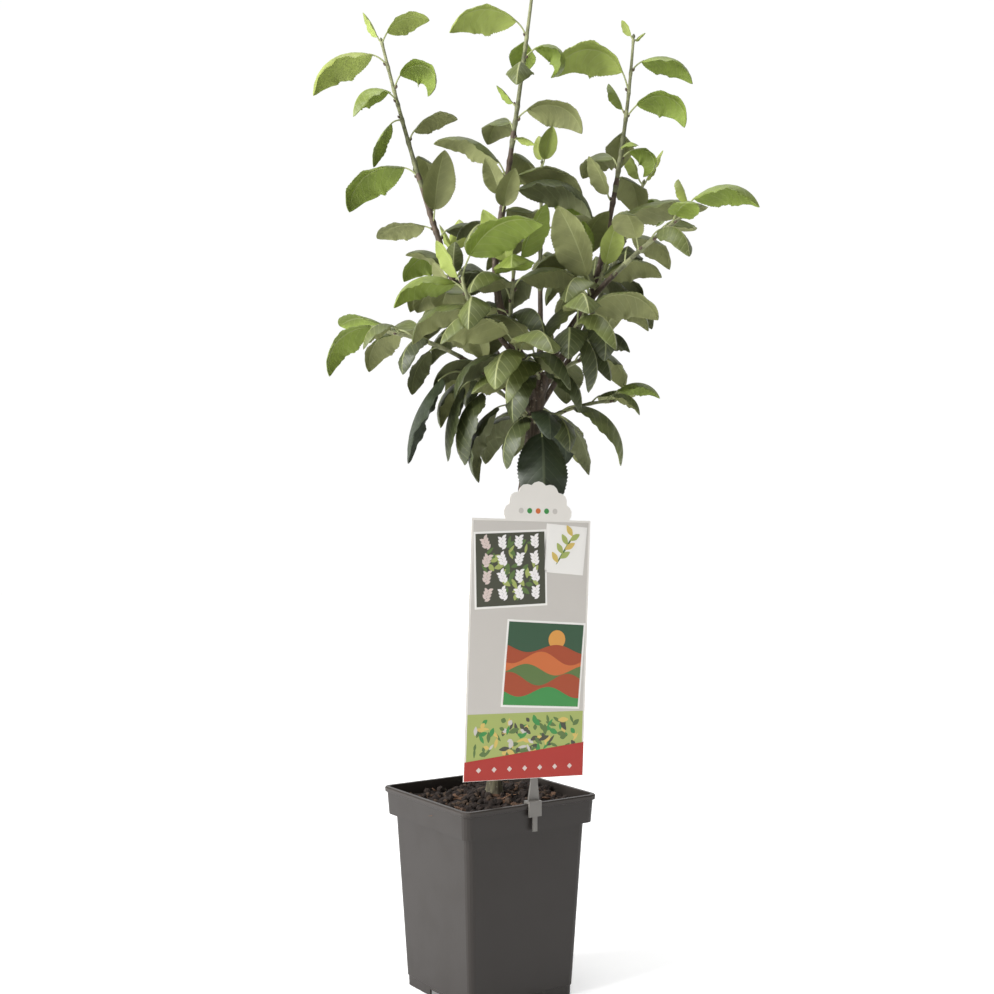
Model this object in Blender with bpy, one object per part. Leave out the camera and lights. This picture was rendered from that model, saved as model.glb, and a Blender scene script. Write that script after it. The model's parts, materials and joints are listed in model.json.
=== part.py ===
"""A young dwarf apple tree on one stem, in a square nursery pot with a printed card clipped to its rim.

Units are metres, +Z is up and -Y faces the viewer. The origin is in the middle of the pot's underside.
Directions seen from above are hours on a clock face: 12 is away from the viewer, 3 is to the right.
"""

import math
import random
from dataclasses import dataclass

import bmesh
import bpy
from mathutils import Vector
from mathutils.bvhtree import BVHTree

MM = 0.001
GAP = 0.3 * MM  # clear space between neighbouring solids
WELD = 0.001 * MM
SEED = 23

# Pot, as widths across the flats
POT_TURN = math.radians(34)
POT_HEIGHT = 196 * MM
LIP_WIDTH = 154 * MM
BAND_WIDTH = 147.5 * MM  # at the band's lower edge
BODY_WIDTH = 136.5 * MM  # just below the band
BASE_WIDTH = 119.5 * MM
BAND_HEIGHT = 27 * MM
LIP_HEIGHT = 5.5 * MM
LEDGE_SLOPE = 1 * MM  # rise of the step under the band
WALL = 1.8 * MM
FOOT_HEIGHT = 10 * MM
FLOOR = 10 * MM  # top of the floor
RECESS = 7 * MM  # hollow under the floor
PAD_RADIUS = 14 * MM
NOTCH_WIDTH = 29 * MM
NOTCH_HEIGHT = 6.5 * MM
BASE_CORNER = 6 * MM
TOP_CORNER = 8 * MM
CORNER_STEPS = 5

# Compost
SOIL_EDGE = 182 * MM
SOIL_ROUGH = 1.6 * MM
SOIL_RINGS = 5

# Trunk
TRUNK_FOOT = Vector((5 * MM, 5 * MM, 190 * MM))
TRUNK_LENGTH = 416 * MM  # along its lean
TRUNK_CLOCK = (3.3, 3.3)
TRUNK_RISE = (86, 81)
TRUNK_RADIUS = 7.2 * MM
TRUNK_TAPER = 0.14  # share of its radius lost on the way up
FORK_SWELL = 1.5 * MM
FORK_SWELL_REACH = 42 * MM
FLARE = 3.4 * MM
FLARE_REACH = 9 * MM
FLAT_AROUND = 14 * MM  # level ring of compost round the trunk

# Card, with a scalloped tab on top, held by a stalk that is clipped over the rim
CARD_TURN = math.radians(26)
CARD_TILT = math.radians(2)
CARD_MIDDLE = Vector((37 * MM, -64 * MM, 342 * MM))
CARD_WIDTH = 126 * MM
CARD_HEIGHT = 244 * MM
CARD_THICK = 1.0 * MM
TAB_WIDTH = 74 * MM
TAB_RISE = 36 * MM
TAB_SHIFT = 6 * MM
SCALLOPS = 7
SCALLOP_DEPTH = 3 * MM
STALK_ACROSS = 11.8 * MM  # from the card's middle line
STALK_WIDTH = 6.8 * MM
STALK_FOOT_WIDTH = 11 * MM
STALK_THICK = 2.6 * MM
STALK_OVERLAP = 80 * MM  # how far it runs up behind the card
CLIP_WIDTH = 14 * MM
CLIP_DROP = 12 * MM
CLIP_WALL = 2.2 * MM
LEG_DROP = 8 * MM  # of the leg inside the pot
PIN_WIDTH = 5 * MM
PIN_DROP = 26 * MM

# Leaves: shares of a blade's length, except the angles
BLADE_WIDTH = 0.62
STALK_SHARE = 0.24
STALK_RADIUS = 0.95 * MM
STALK_ROOT = 0.6  # share of its radius where it starts inside the stem
TIP_SPACE = 1.6  # mm between a stem's tip and its first leaf
MIDRIB_UNDER = 0.021
MIDRIB_OVER = 0.008
BEND_POWER = 1.15
BLADE_STEPS = (0.0, 0.12, 0.33, 0.58, 0.82, 1.0)
STALK_STEPS = (-1.0, -0.5)
HABITS = {  # rise of the stalk's foot, of the blade's root and of its tip, then the fold of each half
    "erect": (34, 72, 44, 30),
    "bow": (72, 58, -30, 32),
    "spread": (50, 28, -28, 30),
    "swan": (82, 66, -84, 36),
    "crest": (76, 42, -72, 38),
    "arch": (62, 16, -94, 40),
    "curl": (80, 56, -150, 36),
    "drape": (40, -2, -108, 26),
    "hang": (6, -44, -96, 24),
    "plumb": (-24, -66, -100, 22),
}
LIGHT = Vector((0, -1, 0))  # blades tip their upper faces this way
LIGHT_TIP = 22  # degrees
ROLL = 16  # degrees, either way
SWEEP = 0.7  # hours, either way
LEAF_SPACE = 0.5 * MM
TRIES = (  # hours of turn and degrees of lift given in turn to a leaf that would touch something
    (0, 0), (0.4, 0), (-0.4, 0), (0, 12), (0, -12), (0.6, 10), (-0.6, 10), (0.7, -10), (-0.7, -10), (1.1, 0),
    (-1.1, 0), (0.4, 24), (-0.4, 24), (0.4, -24), (-0.4, -24), (1.6, 14), (-1.6, 14), (2.2, 0), (-2.2, 0),
    (0, 38), (0, -38), (1.4, 30), (-1.4, 30), (1.4, -30), (-1.4, -30), (2.6, 20), (-2.6, 20), (2.6, -18), (-2.6, -18),
)

# Leaves of a short shoot: millimetres below its tip, hours to the side, habit and share of the largest blade
FAN = (
    (1, 0.3, "erect", 0.56), (4, -1.7, "bow", 0.80), (8, 1.7, "crest", 0.90), (12, -0.6, "arch", 1.0),
    (16, 2.6, "arch", 0.86), (20, -2.8, "drape", 0.84), (24, 0.9, "drape", 0.92),
)


@dataclass
class Leaf:
    """A settled leaf: where its stalk starts, how it runs and how it is tipped."""

    root: Vector
    clock: float
    habit: str
    blade: float
    sweep: float
    roll: float
    lift: float


@dataclass
class Limb:
    """A bough, or the stem of a mass, that grows from its parent at a share of the parent's length."""

    name: str
    parent: str
    at: float
    length: float  # mm
    clock: tuple  # hours at its foot and at its tip
    rise: tuple  # degrees above level at its foot and at its tip; over 90 leans back past upright
    radius: tuple  # mm at its foot and at its tip
    leaves: tuple = ()  # from the tip down: mm below the tip, hour, habit, blade length in mm


def fan(hour, blade, count=7):
    """Leaves of a short shoot that faces an hour."""
    return tuple((down, hour + side, habit, blade * share) for down, side, habit, share in FAN[:count])


BOUGHS = (
    Limb("bough_middle", "trunk", 0.985, 136, (8.6, 9.2), (48, 93), (5.2, 3.0)),
    Limb("bough_left", "trunk", 0.955, 176, (9.6, 9.4), (39, 73), (4.4, 2.8)),
    Limb("bough_right", "trunk", 0.967, 165, (2.6, 3.0), (52, 80), (4.4, 2.7)),
    Limb("bough_rear", "trunk", 0.958, 128, (12.2, 12.0), (42, 68), (3.6, 2.5)),
    Limb("bough_front_left", "trunk", 0.945, 100, (7.1, 7.7), (55, 34), (3.2, 2.4)),
    Limb("bough_low_right", "trunk", 0.935, 156, (4.9, 3.3), (66, 43), (3.5, 2.4)),
    Limb("bough_low_left", "trunk", 0.918, 96, (8.7, 8.9), (44, 30), (3.0, 2.2)),
    Limb("bough_rear_left", "trunk", 0.925, 104, (10.9, 10.6), (40, 50), (3.0, 2.2)),
    Limb("bough_rear_right", "trunk", 0.92, 124, (1.3, 1.9), (44, 60), (3.0, 2.2)),
)

SHOOTS = (
    Limb("leaves_left", "bough_left", 1, 230, (9.4, 9.8), (71, 75), (2.8, 1.5), (
        (0, 9, "erect", 30), (1, 3, "bow", 50), (27, 9, "arch", 86), (52, 3.2, "curl", 68),
        (67, 7.6, "arch", 66), (84, 8.6, "hang", 50), (108, 2.6, "bow", 52),
        (130, 12.6, "arch", 58), (148, 9, "arch", 86), (184, 1.6, "erect", 46), (194, 5.6, "erect", 62),
        (204, 9.4, "spread", 56), (214, 2.8, "crest", 52),
    )),
    Limb("leaves_middle", "bough_middle", 1, 264, (9, 9), (99, 97), (3.0, 1.5), (
        (0, 2.6, "erect", 34), (2, 9, "erect", 26), (48, 9, "crest", 80), (56, 12, "arch", 56),
        (70, 3, "curl", 64), (88, 6, "arch", 56), (116, 9.6, "erect", 26), (132, 3.1, "crest", 70),
        (144, 11.4, "crest", 66), (150, 4, "spread", 24), (170, 0.8, "arch", 68), (188, 8.9, "bow", 76),
        (198, 3, "crest", 82), (210, 7.6, "erect", 38), (216, 3.7, "crest", 96), (222, 4.8, "erect", 42),
        (228, 1.2, "crest", 66), (240, 9.6, "crest", 46), (246, 7, "arch", 62),
    )),
    Limb("leaves_right", "bough_right", 1, 204, (3.0, 2.6), (78, 86), (2.7, 1.3), (
        (0, 9, "erect", 18), (2, 2, "erect", 16), (34, 2.9, "crest", 66), (54, 9, "swan", 90),
        (76, 10.6, "erect", 34), (80, 3.1, "swan", 72), (100, 12, "arch", 60), (112, 5.5, "spread", 30),
        (122, 3.5, "curl", 54), (132, 11, "crest", 66), (146, 1, "arch", 66), (164, 8, "erect", 42),
        (188, 3.1, "spread", 86), (192, 12.4, "arch", 62),
    )),
    Limb("leaves_low_right", "bough_low_right", 1, 92, (3.3, 3.2), (44, 34), (2.4, 1.4), (
        (0, 11, "erect", 32), (8, 3, "crest", 76), (22, 5.5, "spread", 50),
        (34, 1, "spread", 62), (48, 4.8, "arch", 62), (62, 7, "bow", 56), (80, 12.4, "crest", 60),
    )),
    Limb("leaves_rear_right", "bough_rear_right", 1, 156, (1.9, 3.0), (60, 74), (2.2, 1.3), (
        (0, 9, "erect", 30), (2, 2, "erect", 38), (30, 4, "curl", 54), (46, 12, "crest", 60),
        (66, 2, "arch", 66), (90, 10.8, "arch", 64), (112, 1, "crest", 72), (134, 12.6, "arch", 76),
        (140, 3, "arch", 66),
    )),
    Limb("leaves_front_left", "bough_front_left", 1, 56, (7.7, 8.4), (32, 84), (2.4, 1.5), (
        (0, 4.2, "bow", 88), (8, 9, "erect", 40), (20, 8.6, "crest", 76), (32, 9.8, "crest", 76),
        (36, 6.2, "arch", 66), (44, 8.4, "arch", 74),
    )),
    Limb("leaves_low_left", "bough_low_left", 1, 74, (8.9, 9.1), (28, 8), (2.2, 1.4), (
        (0, 8.8, "drape", 74), (3, 10.2, "spread", 60), (12, 7.4, "arch", 52), (24, 9.4, "arch", 66),
        (36, 11, "crest", 64), (44, 7.2, "drape", 56), (54, 9, "hang", 48),
    )),
    Limb("leaves_rear_left", "bough_rear_left", 1, 110, (10.6, 10.2), (52, 74), (2.2, 1.3), (
        (0, 9.6, "erect", 30), (2, 12, "erect", 40), (20, 9.4, "crest", 66), (34, 1, "spread", 58),
        (48, 11.2, "arch", 72), (66, 8.6, "arch", 66), (82, 12.4, "crest", 70), (94, 10.2, "arch", 70),
    )),
    Limb("leaves_rear", "bough_rear", 1, 150, (12.0, 12.4), (72, 84), (2.5, 1.3), (
        (0, 12, "erect", 34), (2, 5, "erect", 36), (24, 10, "crest", 62), (40, 1.6, "arch", 66),
        (58, 11.6, "arch", 70), (78, 3, "spread", 58), (94, 8.8, "arch", 64), (112, 12.6, "crest", 76),
        (124, 2.2, "arch", 70), (136, 10.6, "arch", 72),
    )),
    Limb("leaves_centre", "bough_middle", 0.42, 74, (6.0, 5.6), (36, 74), (2.4, 1.5), (
        (0, 4, "erect", 56), (3, 8, "erect", 54), (14, 5.6, "bow", 72), (24, 2.6, "crest", 72),
        (36, 7.6, "crest", 76), (48, 9.4, "spread", 60), (58, 4.8, "arch", 70),
    )),
    Limb("leaves_centre_right", "bough_right", 0.42, 70, (4.9, 4.4), (38, 72), (2.2, 1.4), (
        (0, 5, "erect", 44), (3, 2.6, "erect", 48), (18, 8, "erect", 74), (20, 3.6, "crest", 70), (30, 6.2, "crest", 70),
        (38, 3, "arch", 66), (50, 5, "drape", 60),
    )),
    Limb("leaves_spur_left", "bough_left", 0.52, 34, (8.0, 8.0), (50, 40), (2.0, 1.4), fan(8.0, 74)),
    Limb("leaves_spur_left_rear", "bough_left", 0.74, 32, (11.4, 11.4), (50, 44), (2.0, 1.4), fan(11.4, 70, 4)),
    Limb("leaves_spur_right", "bough_right", 0.72, 30, (6.6, 6.6), (46, 44), (2.0, 1.4), fan(6.4, 66, 6)),
    Limb("leaves_spur_right_rear", "bough_right", 0.55, 32, (0.6, 0.6), (46, 44), (2.0, 1.4), fan(0.6, 72, 4)),
    Limb("leaves_spur_front", "bough_front_left", 0.34, 40, (6.4, 6.4), (20, 30), (2.0, 1.4), (
        (0, 8, "crest", 96), (2, 4, "bow", 84), (10, 6.2, "drape", 70), (18, 9.4, "drape", 76),
        (24, 4.6, "arch", 74),
    )),
    Limb("leaves_spur_low_right", "bough_low_right", 0.42, 40, (5.0, 5.0), (34, 24), (2.0, 1.4), (
        (0, 3.2, "crest", 80), (2, 6.4, "crest", 72), (10, 4.8, "arch", 70), (18, 3.0, "drape", 64),
        (26, 7.4, "drape", 62),
    )),
    Limb("leaves_spur_centre", "trunk", 0.99, 36, (6.5, 6.0), (16, 30), (2.0, 1.4), (
        (0, 4.8, "bow", 76), (3, 7.4, "bow", 70), (10, 6.2, "arch", 72), (18, 4.4, "drape", 66),
        (24, 8, "drape", 64),
    )),
    Limb("leaves_spur_low_left", "bough_low_left", 0.5, 30, (7.0, 7.0), (34, 30), (2.0, 1.4), fan(6.8, 68, 4)),
    Limb("leaves_spur_rear_left", "bough_rear_left", 0.5, 32, (9.6, 9.6), (36, 10), (2.0, 1.4), fan(10.2, 76, 6)),
    Limb("leaves_spur_rear_right", "bough_rear_right", 0.5, 32, (2.6, 2.6), (36, 10), (2.0, 1.4), fan(2.2, 76, 6)),
    Limb("leaves_skirt_left", "trunk", 0.895, 94, (8.2, 8.5), (50, 18), (2.3, 1.5), (
        (0, 8.6, "hang", 92), (18, 7.6, "hang", 76), (26, 9.8, "arch", 66), (44, 8.4, "drape", 84),
        (56, 6.6, "arch", 62), (66, 7.8, "drape", 88),
    )),
    Limb("leaves_skirt_right", "trunk", 0.89, 84, (3.6, 3.2), (34, 2), (2.3, 1.4), (
        (0, 3, "crest", 50), (5, 4.2, "arch", 42), (20, 1.8, "spread", 48), (52, 4.2, "drape", 88),
        (58, 2.6, "hang", 60), (66, 5.2, "drape", 56),
    )),
    Limb("leaves_skirt_front", "trunk", 0.9, 20, (5.6, 5.6), (16, 4), (2.3, 1.7), (
        (0, 5.6, "plumb", 84), (1, 3.8, "drape", 54), (2, 7.6, "drape", 66),
    )),
    Limb("leaves_skirt_rear", "trunk", 0.875, 52, (12.2, 12.0), (40, 14), (2.3, 1.4), (
        (0, 12, "arch", 82), (4, 10.4, "drape", 84), (12, 1.6, "drape", 78), (22, 11.4, "arch", 70),
        (30, 12.8, "drape", 68), (36, 9.6, "arch", 62),
    )),
)


def material(name, colour, roughness, metallic=0.0):
    made = bpy.data.materials.new(name)
    made.use_nodes = True
    shader = made.node_tree.nodes["Principled BSDF"]
    shader.inputs["Base Color"].default_value = (*colour, 1)
    shader.inputs["Roughness"].default_value = roughness
    shader.inputs["Metallic"].default_value = metallic
    return made


def collection(name):
    made = bpy.data.collections.new(name)
    bpy.context.scene.collection.children.link(made)
    return made


def add(name, mesh, where, finish=None):
    """An object from a bmesh, which is freed."""
    data = bpy.data.meshes.new(name)
    mesh.to_mesh(data)
    mesh.free()
    if finish:
        data.materials.append(finish)
    made = bpy.data.objects.new(name, data)
    where.objects.link(made)
    return made


def loft(rings):
    """A closed bmesh through rings of as many points each, all going the same way round."""
    mesh = bmesh.new()
    loops = [[mesh.verts.new(point) for point in ring] for ring in rings]
    for lower, upper in zip(loops, loops[1:]):
        for i in range(len(lower)):
            j = (i + 1) % len(lower)
            mesh.faces.new((lower[i], lower[j], upper[j], upper[i]))
    mesh.faces.new(reversed(loops[0]))
    mesh.faces.new(loops[-1])
    bmesh.ops.recalc_face_normals(mesh, faces=mesh.faces)
    return mesh


def tree_of(mesh):
    """What a later leaf is tested against: the bmesh's faces and its box."""
    low = Vector(min(vert.co[axis] for vert in mesh.verts) for axis in range(3))
    high = Vector(max(vert.co[axis] for vert in mesh.verts) for axis in range(3))
    return BVHTree.FromBMesh(mesh), low, high


def meets(one, other):
    apart = any(one[2][i] < other[1][i] or other[2][i] < one[1][i] for i in range(3))
    return not apart and bool(one[0].overlap(other[0]))


def boolean(target, operation, cutter=None, group=None, solver="EXACT"):
    step = target.modifiers.new(operation.title(), "BOOLEAN")
    step.operation = operation
    step.solver = solver
    if group:
        step.operand_type = "COLLECTION"
        step.collection = group
    else:
        step.object = cutter


def hide(cutter):
    cutter.hide_render = True
    cutter.display_type = "WIRE"


def evaluated(target):
    """The object's mesh in triangles with its modifiers applied, or a curve's with its caps welded on."""
    graph = bpy.context.evaluated_depsgraph_get()
    mesh = bmesh.new()
    data = bpy.data.meshes.new_from_object(target.evaluated_get(graph))
    mesh.from_mesh(data)
    bpy.data.meshes.remove(data)
    bmesh.ops.remove_doubles(mesh, verts=mesh.verts, dist=WELD)
    bmesh.ops.triangulate(mesh, faces=mesh.faces)
    return mesh


def lerp(pair, share):
    return pair[0] + (pair[1] - pair[0]) * share


# Pot, compost and card


def rounded_square(width, corner, height):
    """Points round a square with rounded corners, turned as the pot is."""
    reach = width / 2 - corner
    points = []
    for quarter in range(4):
        for step in range(CORNER_STEPS):
            angle = math.radians(90) * (quarter + step / (CORNER_STEPS - 1))
            side = math.radians(90) * quarter + math.radians(45)
            x = reach * math.sqrt(2) * math.cos(side) + corner * math.cos(angle)
            y = reach * math.sqrt(2) * math.sin(side) + corner * math.sin(angle)
            points.append(turned(x, y, height))
    return points


def turned(x, y, z):
    """A point in the pot's own directions, as a world point."""
    c, s = math.cos(POT_TURN), math.sin(POT_TURN)
    return Vector((c * x - s * y, s * x + c * y, z))


def corner_at(height):
    return BASE_CORNER + (TOP_CORNER - BASE_CORNER) * height / POT_HEIGHT


def body_width(height):
    share = (height - FOOT_HEIGHT) / (POT_HEIGHT - BAND_HEIGHT - FOOT_HEIGHT)
    return BASE_WIDTH + (BODY_WIDTH - BASE_WIDTH) * max(0, share)


def inner_width(height):
    """Width of the space inside, which steps out behind the band as the outside does."""
    ledge = POT_HEIGHT - BAND_HEIGHT + WALL
    if height < ledge:
        return body_width(height) - 2 * WALL
    share = (height - ledge) / (POT_HEIGHT - ledge)
    return BAND_WIDTH - 2 * WALL + 2 * MM * share


def make_pot(parts, cutters, finish):
    band = POT_HEIGHT - BAND_HEIGHT
    lip = POT_HEIGHT - LIP_HEIGHT
    outline = (
        (0, BASE_WIDTH - 2 * MM), (FOOT_HEIGHT - 0.6 * MM, BASE_WIDTH - 1.4 * MM), (FOOT_HEIGHT, BASE_WIDTH),
        (band - LEDGE_SLOPE, BODY_WIDTH), (band, BAND_WIDTH), (lip, LIP_WIDTH - 3.6 * MM),
        (lip + 0.7 * MM, LIP_WIDTH - 0.6 * MM), (POT_HEIGHT - 1.2 * MM, LIP_WIDTH), (POT_HEIGHT, LIP_WIDTH - 1.4 * MM),
    )
    pot = add("pot", loft([rounded_square(w, corner_at(z), z) for z, w in outline]), parts, finish)
    ledge = band + WALL
    heights = (FLOOR, ledge - LEDGE_SLOPE, ledge, POT_HEIGHT, POT_HEIGHT + 5 * MM)
    hollow = [rounded_square(inner_width(z), corner_at(z) - WALL, z) for z in heights]
    inside = add("pot_inside", loft(hollow), cutters)
    under = BASE_WIDTH - 2 * MM - 2 * WALL
    below = [rounded_square(under, BASE_CORNER - WALL, z) for z in (-5 * MM, RECESS)]
    recess = add("pot_recess", loft(below), cutters)
    pad = bmesh.new()
    bmesh.ops.create_cone(pad, cap_ends=True, segments=24, radius1=PAD_RADIUS, radius2=PAD_RADIUS, depth=30 * MM)
    boolean(recess, "DIFFERENCE", add("pot_pad", pad, cutters))
    cuts = [inside, recess]
    for quarter in range(4):
        box = bmesh.new()
        bmesh.ops.create_cube(box, size=1)
        notch = add(f"pot_notch_{quarter}", box, cutters)
        notch.data.transform(scaling(NOTCH_WIDTH, 20 * MM, 2 * NOTCH_HEIGHT))
        notch.rotation_euler.z = POT_TURN + quarter * math.radians(90)
        notch.location = Vector((0, -BASE_WIDTH / 2, 0))
        notch.location.rotate(notch.rotation_euler)
        cuts.append(notch)
    for cut in cuts:
        boolean(pot, "DIFFERENCE", cut)
    for cut in cutters.objects:
        hide(cut)
    return pot


def scaling(x, y, z):
    return ((x, 0, 0, 0), (0, y, 0, 0), (0, 0, z, 0), (0, 0, 0, 1))


def make_soil(parts, finish):
    """Compost that fills the pot, heaped a little and level round the trunk."""
    ledge = POT_HEIGHT - BAND_HEIGHT + WALL + 2 * GAP
    heights = (FLOOR + GAP, ledge - LEDGE_SLOPE, ledge, SOIL_EDGE)
    rings = [rounded_square(inner_width(z) - 2 * GAP, corner_at(z) - WALL, z) for z in heights]
    chance = random.Random(SEED)
    edge, top = rings[-1], TRUNK_FOOT.z - GAP
    for step in range(1, SOIL_RINGS + 1):
        share = step / SOIL_RINGS
        ring = []
        for point in edge:
            round_trunk = (point - TRUNK_FOOT) * Vector((1, 1, 0))
            inner = TRUNK_FOOT + round_trunk.normalized() * FLAT_AROUND
            spot = point.lerp(inner, share)
            rough = SOIL_ROUGH * chance.uniform(-1, 1) if step < SOIL_RINGS else 0
            spot.z = SOIL_EDGE + (top - SOIL_EDGE) * math.sin(share * math.pi / 2) + rough
            ring.append(spot)
        rings.append(ring)
    return add("soil", loft(rings), parts, finish)


def card_point(across, up, out):
    """A point on the card from its middle: to the right, up and towards the viewer."""
    right = Vector((math.cos(CARD_TURN), math.sin(CARD_TURN), 0))
    upward = Vector((0, 0, 1))
    x = right * math.cos(CARD_TILT) - upward * math.sin(CARD_TILT)
    z = upward * math.cos(CARD_TILT) + right * math.sin(CARD_TILT)
    return CARD_MIDDLE + x * across + z * up + x.cross(z) * out


def card_outline():
    """The card's outline: a sheet with square corners and a scalloped tab on its upper edge."""
    half, top = CARD_WIDTH / 2, CARD_HEIGHT / 2
    points = [(-half, top), (-half, -top), (half, -top), (half, top)]
    steps = SCALLOPS * 4
    for step in range(steps + 1):
        angle = math.pi * step / steps
        bump = SCALLOP_DEPTH * abs(math.sin(SCALLOPS * angle)) - SCALLOP_DEPTH
        x = TAB_SHIFT + (TAB_WIDTH / 2 + bump) * math.cos(angle)
        points.append((x, top + (TAB_RISE + bump) * math.sin(angle)))
    return points


def make_card(parts, finish):
    rings = [[card_point(x, z, out) for x, z in card_outline()] for out in (0, CARD_THICK)]
    return add("label_card", loft(rings), parts, finish)


def make_clip(parts, finish):
    """One moulding: a stalk behind the card, a clip over the rim and a pin in front of the band."""
    face = LIP_WIDTH / 2
    leg_foot = POT_HEIGHT - LEG_DROP
    inner = inner_width(leg_foot) / 2

    def block(name, width, near, far, low, high):
        """A box on the pot's front right side, from its distance to the pot's axis and its heights."""
        corners = ((-width / 2, -far), (width / 2, -far), (width / 2, -near), (-width / 2, -near))
        return add(name, loft([[turned(x, y, z) for x, y in corners] for z in (low, high)]), parts, finish)

    crown = POT_HEIGHT + GAP
    outer_leg = face + GAP
    joined = collection("clip_pieces")
    clip = block("label_clip", CLIP_WIDTH, inner - GAP - CLIP_WALL, outer_leg + CLIP_WALL, crown, crown + CLIP_WALL)
    pieces = (
        block("leg_out", CLIP_WIDTH, outer_leg, outer_leg + CLIP_WALL, POT_HEIGHT - CLIP_DROP, crown + 1 * MM),
        block("leg_in", CLIP_WIDTH, inner - GAP - CLIP_WALL, inner - GAP, leg_foot, crown + 1 * MM),
        block("pin", PIN_WIDTH, outer_leg, outer_leg + 0.7 * CLIP_WALL, POT_HEIGHT - PIN_DROP, POT_HEIGHT - 9 * MM),
        add("stalk", stalk(crown), parts, finish),
    )
    return union(clip, pieces, joined, "label_clip")


def stalk(foot):
    """Four-cornered bar from the clip up behind the card, wider at its foot."""
    card_foot = -CARD_HEIGHT / 2
    low = card_foot - (CARD_MIDDLE.z - CARD_HEIGHT / 2 - foot) + 0.5 * MM
    spans = (
        (low, STALK_FOOT_WIDTH), (low + 4 * MM, STALK_FOOT_WIDTH),
        (card_foot - 3 * MM, STALK_WIDTH), (card_foot + STALK_OVERLAP, STALK_WIDTH),
    )
    rings = []
    for up, width in spans:
        left, right = STALK_ACROSS - width / 2, STALK_ACROSS + width / 2
        corners = ((left, -GAP), (right, -GAP), (right, -GAP - STALK_THICK), (left, -GAP - STALK_THICK))
        rings.append([card_point(across, up, out) for across, out in corners])
    return loft(rings)


# Limbs


def heading(clock, rise):
    """Unit vectors along a limb, to its left and out of its upper side."""
    turn, lift = math.radians(30 * clock), math.radians(rise)
    level = Vector((math.sin(turn), math.cos(turn), 0))
    along = level * math.cos(lift) + Vector((0, 0, math.sin(lift)))
    left = Vector((-math.cos(turn), math.sin(turn), 0))
    return along, left, along.cross(left) * -1


def grow(foot, length, clock, rise, steps):
    """Points along a limb whose heading changes evenly from its foot to its tip."""
    points = [foot.copy()]
    for step in range(steps):
        share = (step + 0.5) / steps
        along = heading(lerp(clock, share), lerp(rise, share))[0]
        points.append(points[-1] + along * length / steps)
    return points


def point_at(path, share):
    """The value at a share of a list of points, or of numbers, that are evenly spaced."""
    place = share * (len(path) - 1)
    step = min(int(place), len(path) - 2)
    return path[step] + (path[step + 1] - path[step]) * (place - step)


def tube(name, path, radii, resolution, where, finish, beyond=0.0):
    """A tapering round limb as a mesh object. beyond lengthens it at both ends."""
    path = [point.copy() for point in path]
    path[0] += (path[0] - path[1]).normalized() * beyond
    path[-1] += (path[-1] - path[-2]).normalized() * beyond
    curve = bpy.data.curves.new(name, "CURVE")
    curve.dimensions = "3D"
    curve.bevel_depth = 1 * MM
    curve.bevel_resolution = resolution
    curve.use_fill_caps = True
    line = curve.splines.new("POLY")
    line.points.add(len(path) - 1)
    for spot, point, radius in zip(line.points, path, radii):
        spot.co = (*point, 1)
        spot.radius = radius / MM
    guide = bpy.data.objects.new(name, curve)
    where.objects.link(guide)
    bpy.context.view_layer.update()
    mesh = evaluated(guide)
    bpy.data.objects.remove(guide)
    bpy.data.curves.remove(curve)
    return add(name, mesh, where, finish)


def trunk_radius(height):
    """Radius at a height above the cut: a root flare, a slight taper and a swelling under the fork."""
    flare = FLARE * math.exp(-height / FLARE_REACH)
    taper = 1 - TRUNK_TAPER * height / TRUNK_LENGTH
    swelling = FORK_SWELL * math.exp(-(((height - TRUNK_LENGTH) / FORK_SWELL_REACH) ** 2))
    return TRUNK_RADIUS * taper + flare + swelling


def make_trunk(parts, finish):
    """The trunk, cut level at its foot, and the path and radii that boughs start from."""
    below = 6 * MM
    path = grow(TRUNK_FOOT, TRUNK_LENGTH, TRUNK_CLOCK, TRUNK_RISE, 16)
    start = heading(TRUNK_CLOCK[0], TRUNK_RISE[0])[0]
    extra = [TRUNK_FOOT + start * reach for reach in (-below, 0, 5 * MM, 12 * MM)]
    points = extra + path[1:]
    radii = [trunk_radius((point - TRUNK_FOOT).length) for point in points]
    radii[0] = radii[1]
    trunk = tube("trunk", points, radii, 3, parts, finish)
    mesh = bmesh.new()
    mesh.from_mesh(trunk.data)
    everything = mesh.verts[:] + mesh.edges[:] + mesh.faces[:]
    cut = bmesh.ops.bisect_plane(mesh, geom=everything, plane_co=TRUNK_FOOT, plane_no=(0, 0, 1), clear_inner=True)
    edges = [item for item in cut["geom_cut"] if isinstance(item, bmesh.types.BMEdge)]
    bmesh.ops.edgeloop_fill(mesh, edges=edges)
    bmesh.ops.remove_doubles(mesh, verts=mesh.verts, dist=WELD)
    bmesh.ops.recalc_face_normals(mesh, faces=mesh.faces)
    mesh.to_mesh(trunk.data)
    mesh.free()
    return trunk, points, radii


def apply_cut(target, cutter):
    """The target without what the cutter takes from it."""
    boolean(target, "DIFFERENCE", cutter)
    mesh = evaluated(target)
    target.modifiers.clear()
    mesh.to_mesh(target.data)
    mesh.free()


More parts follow.
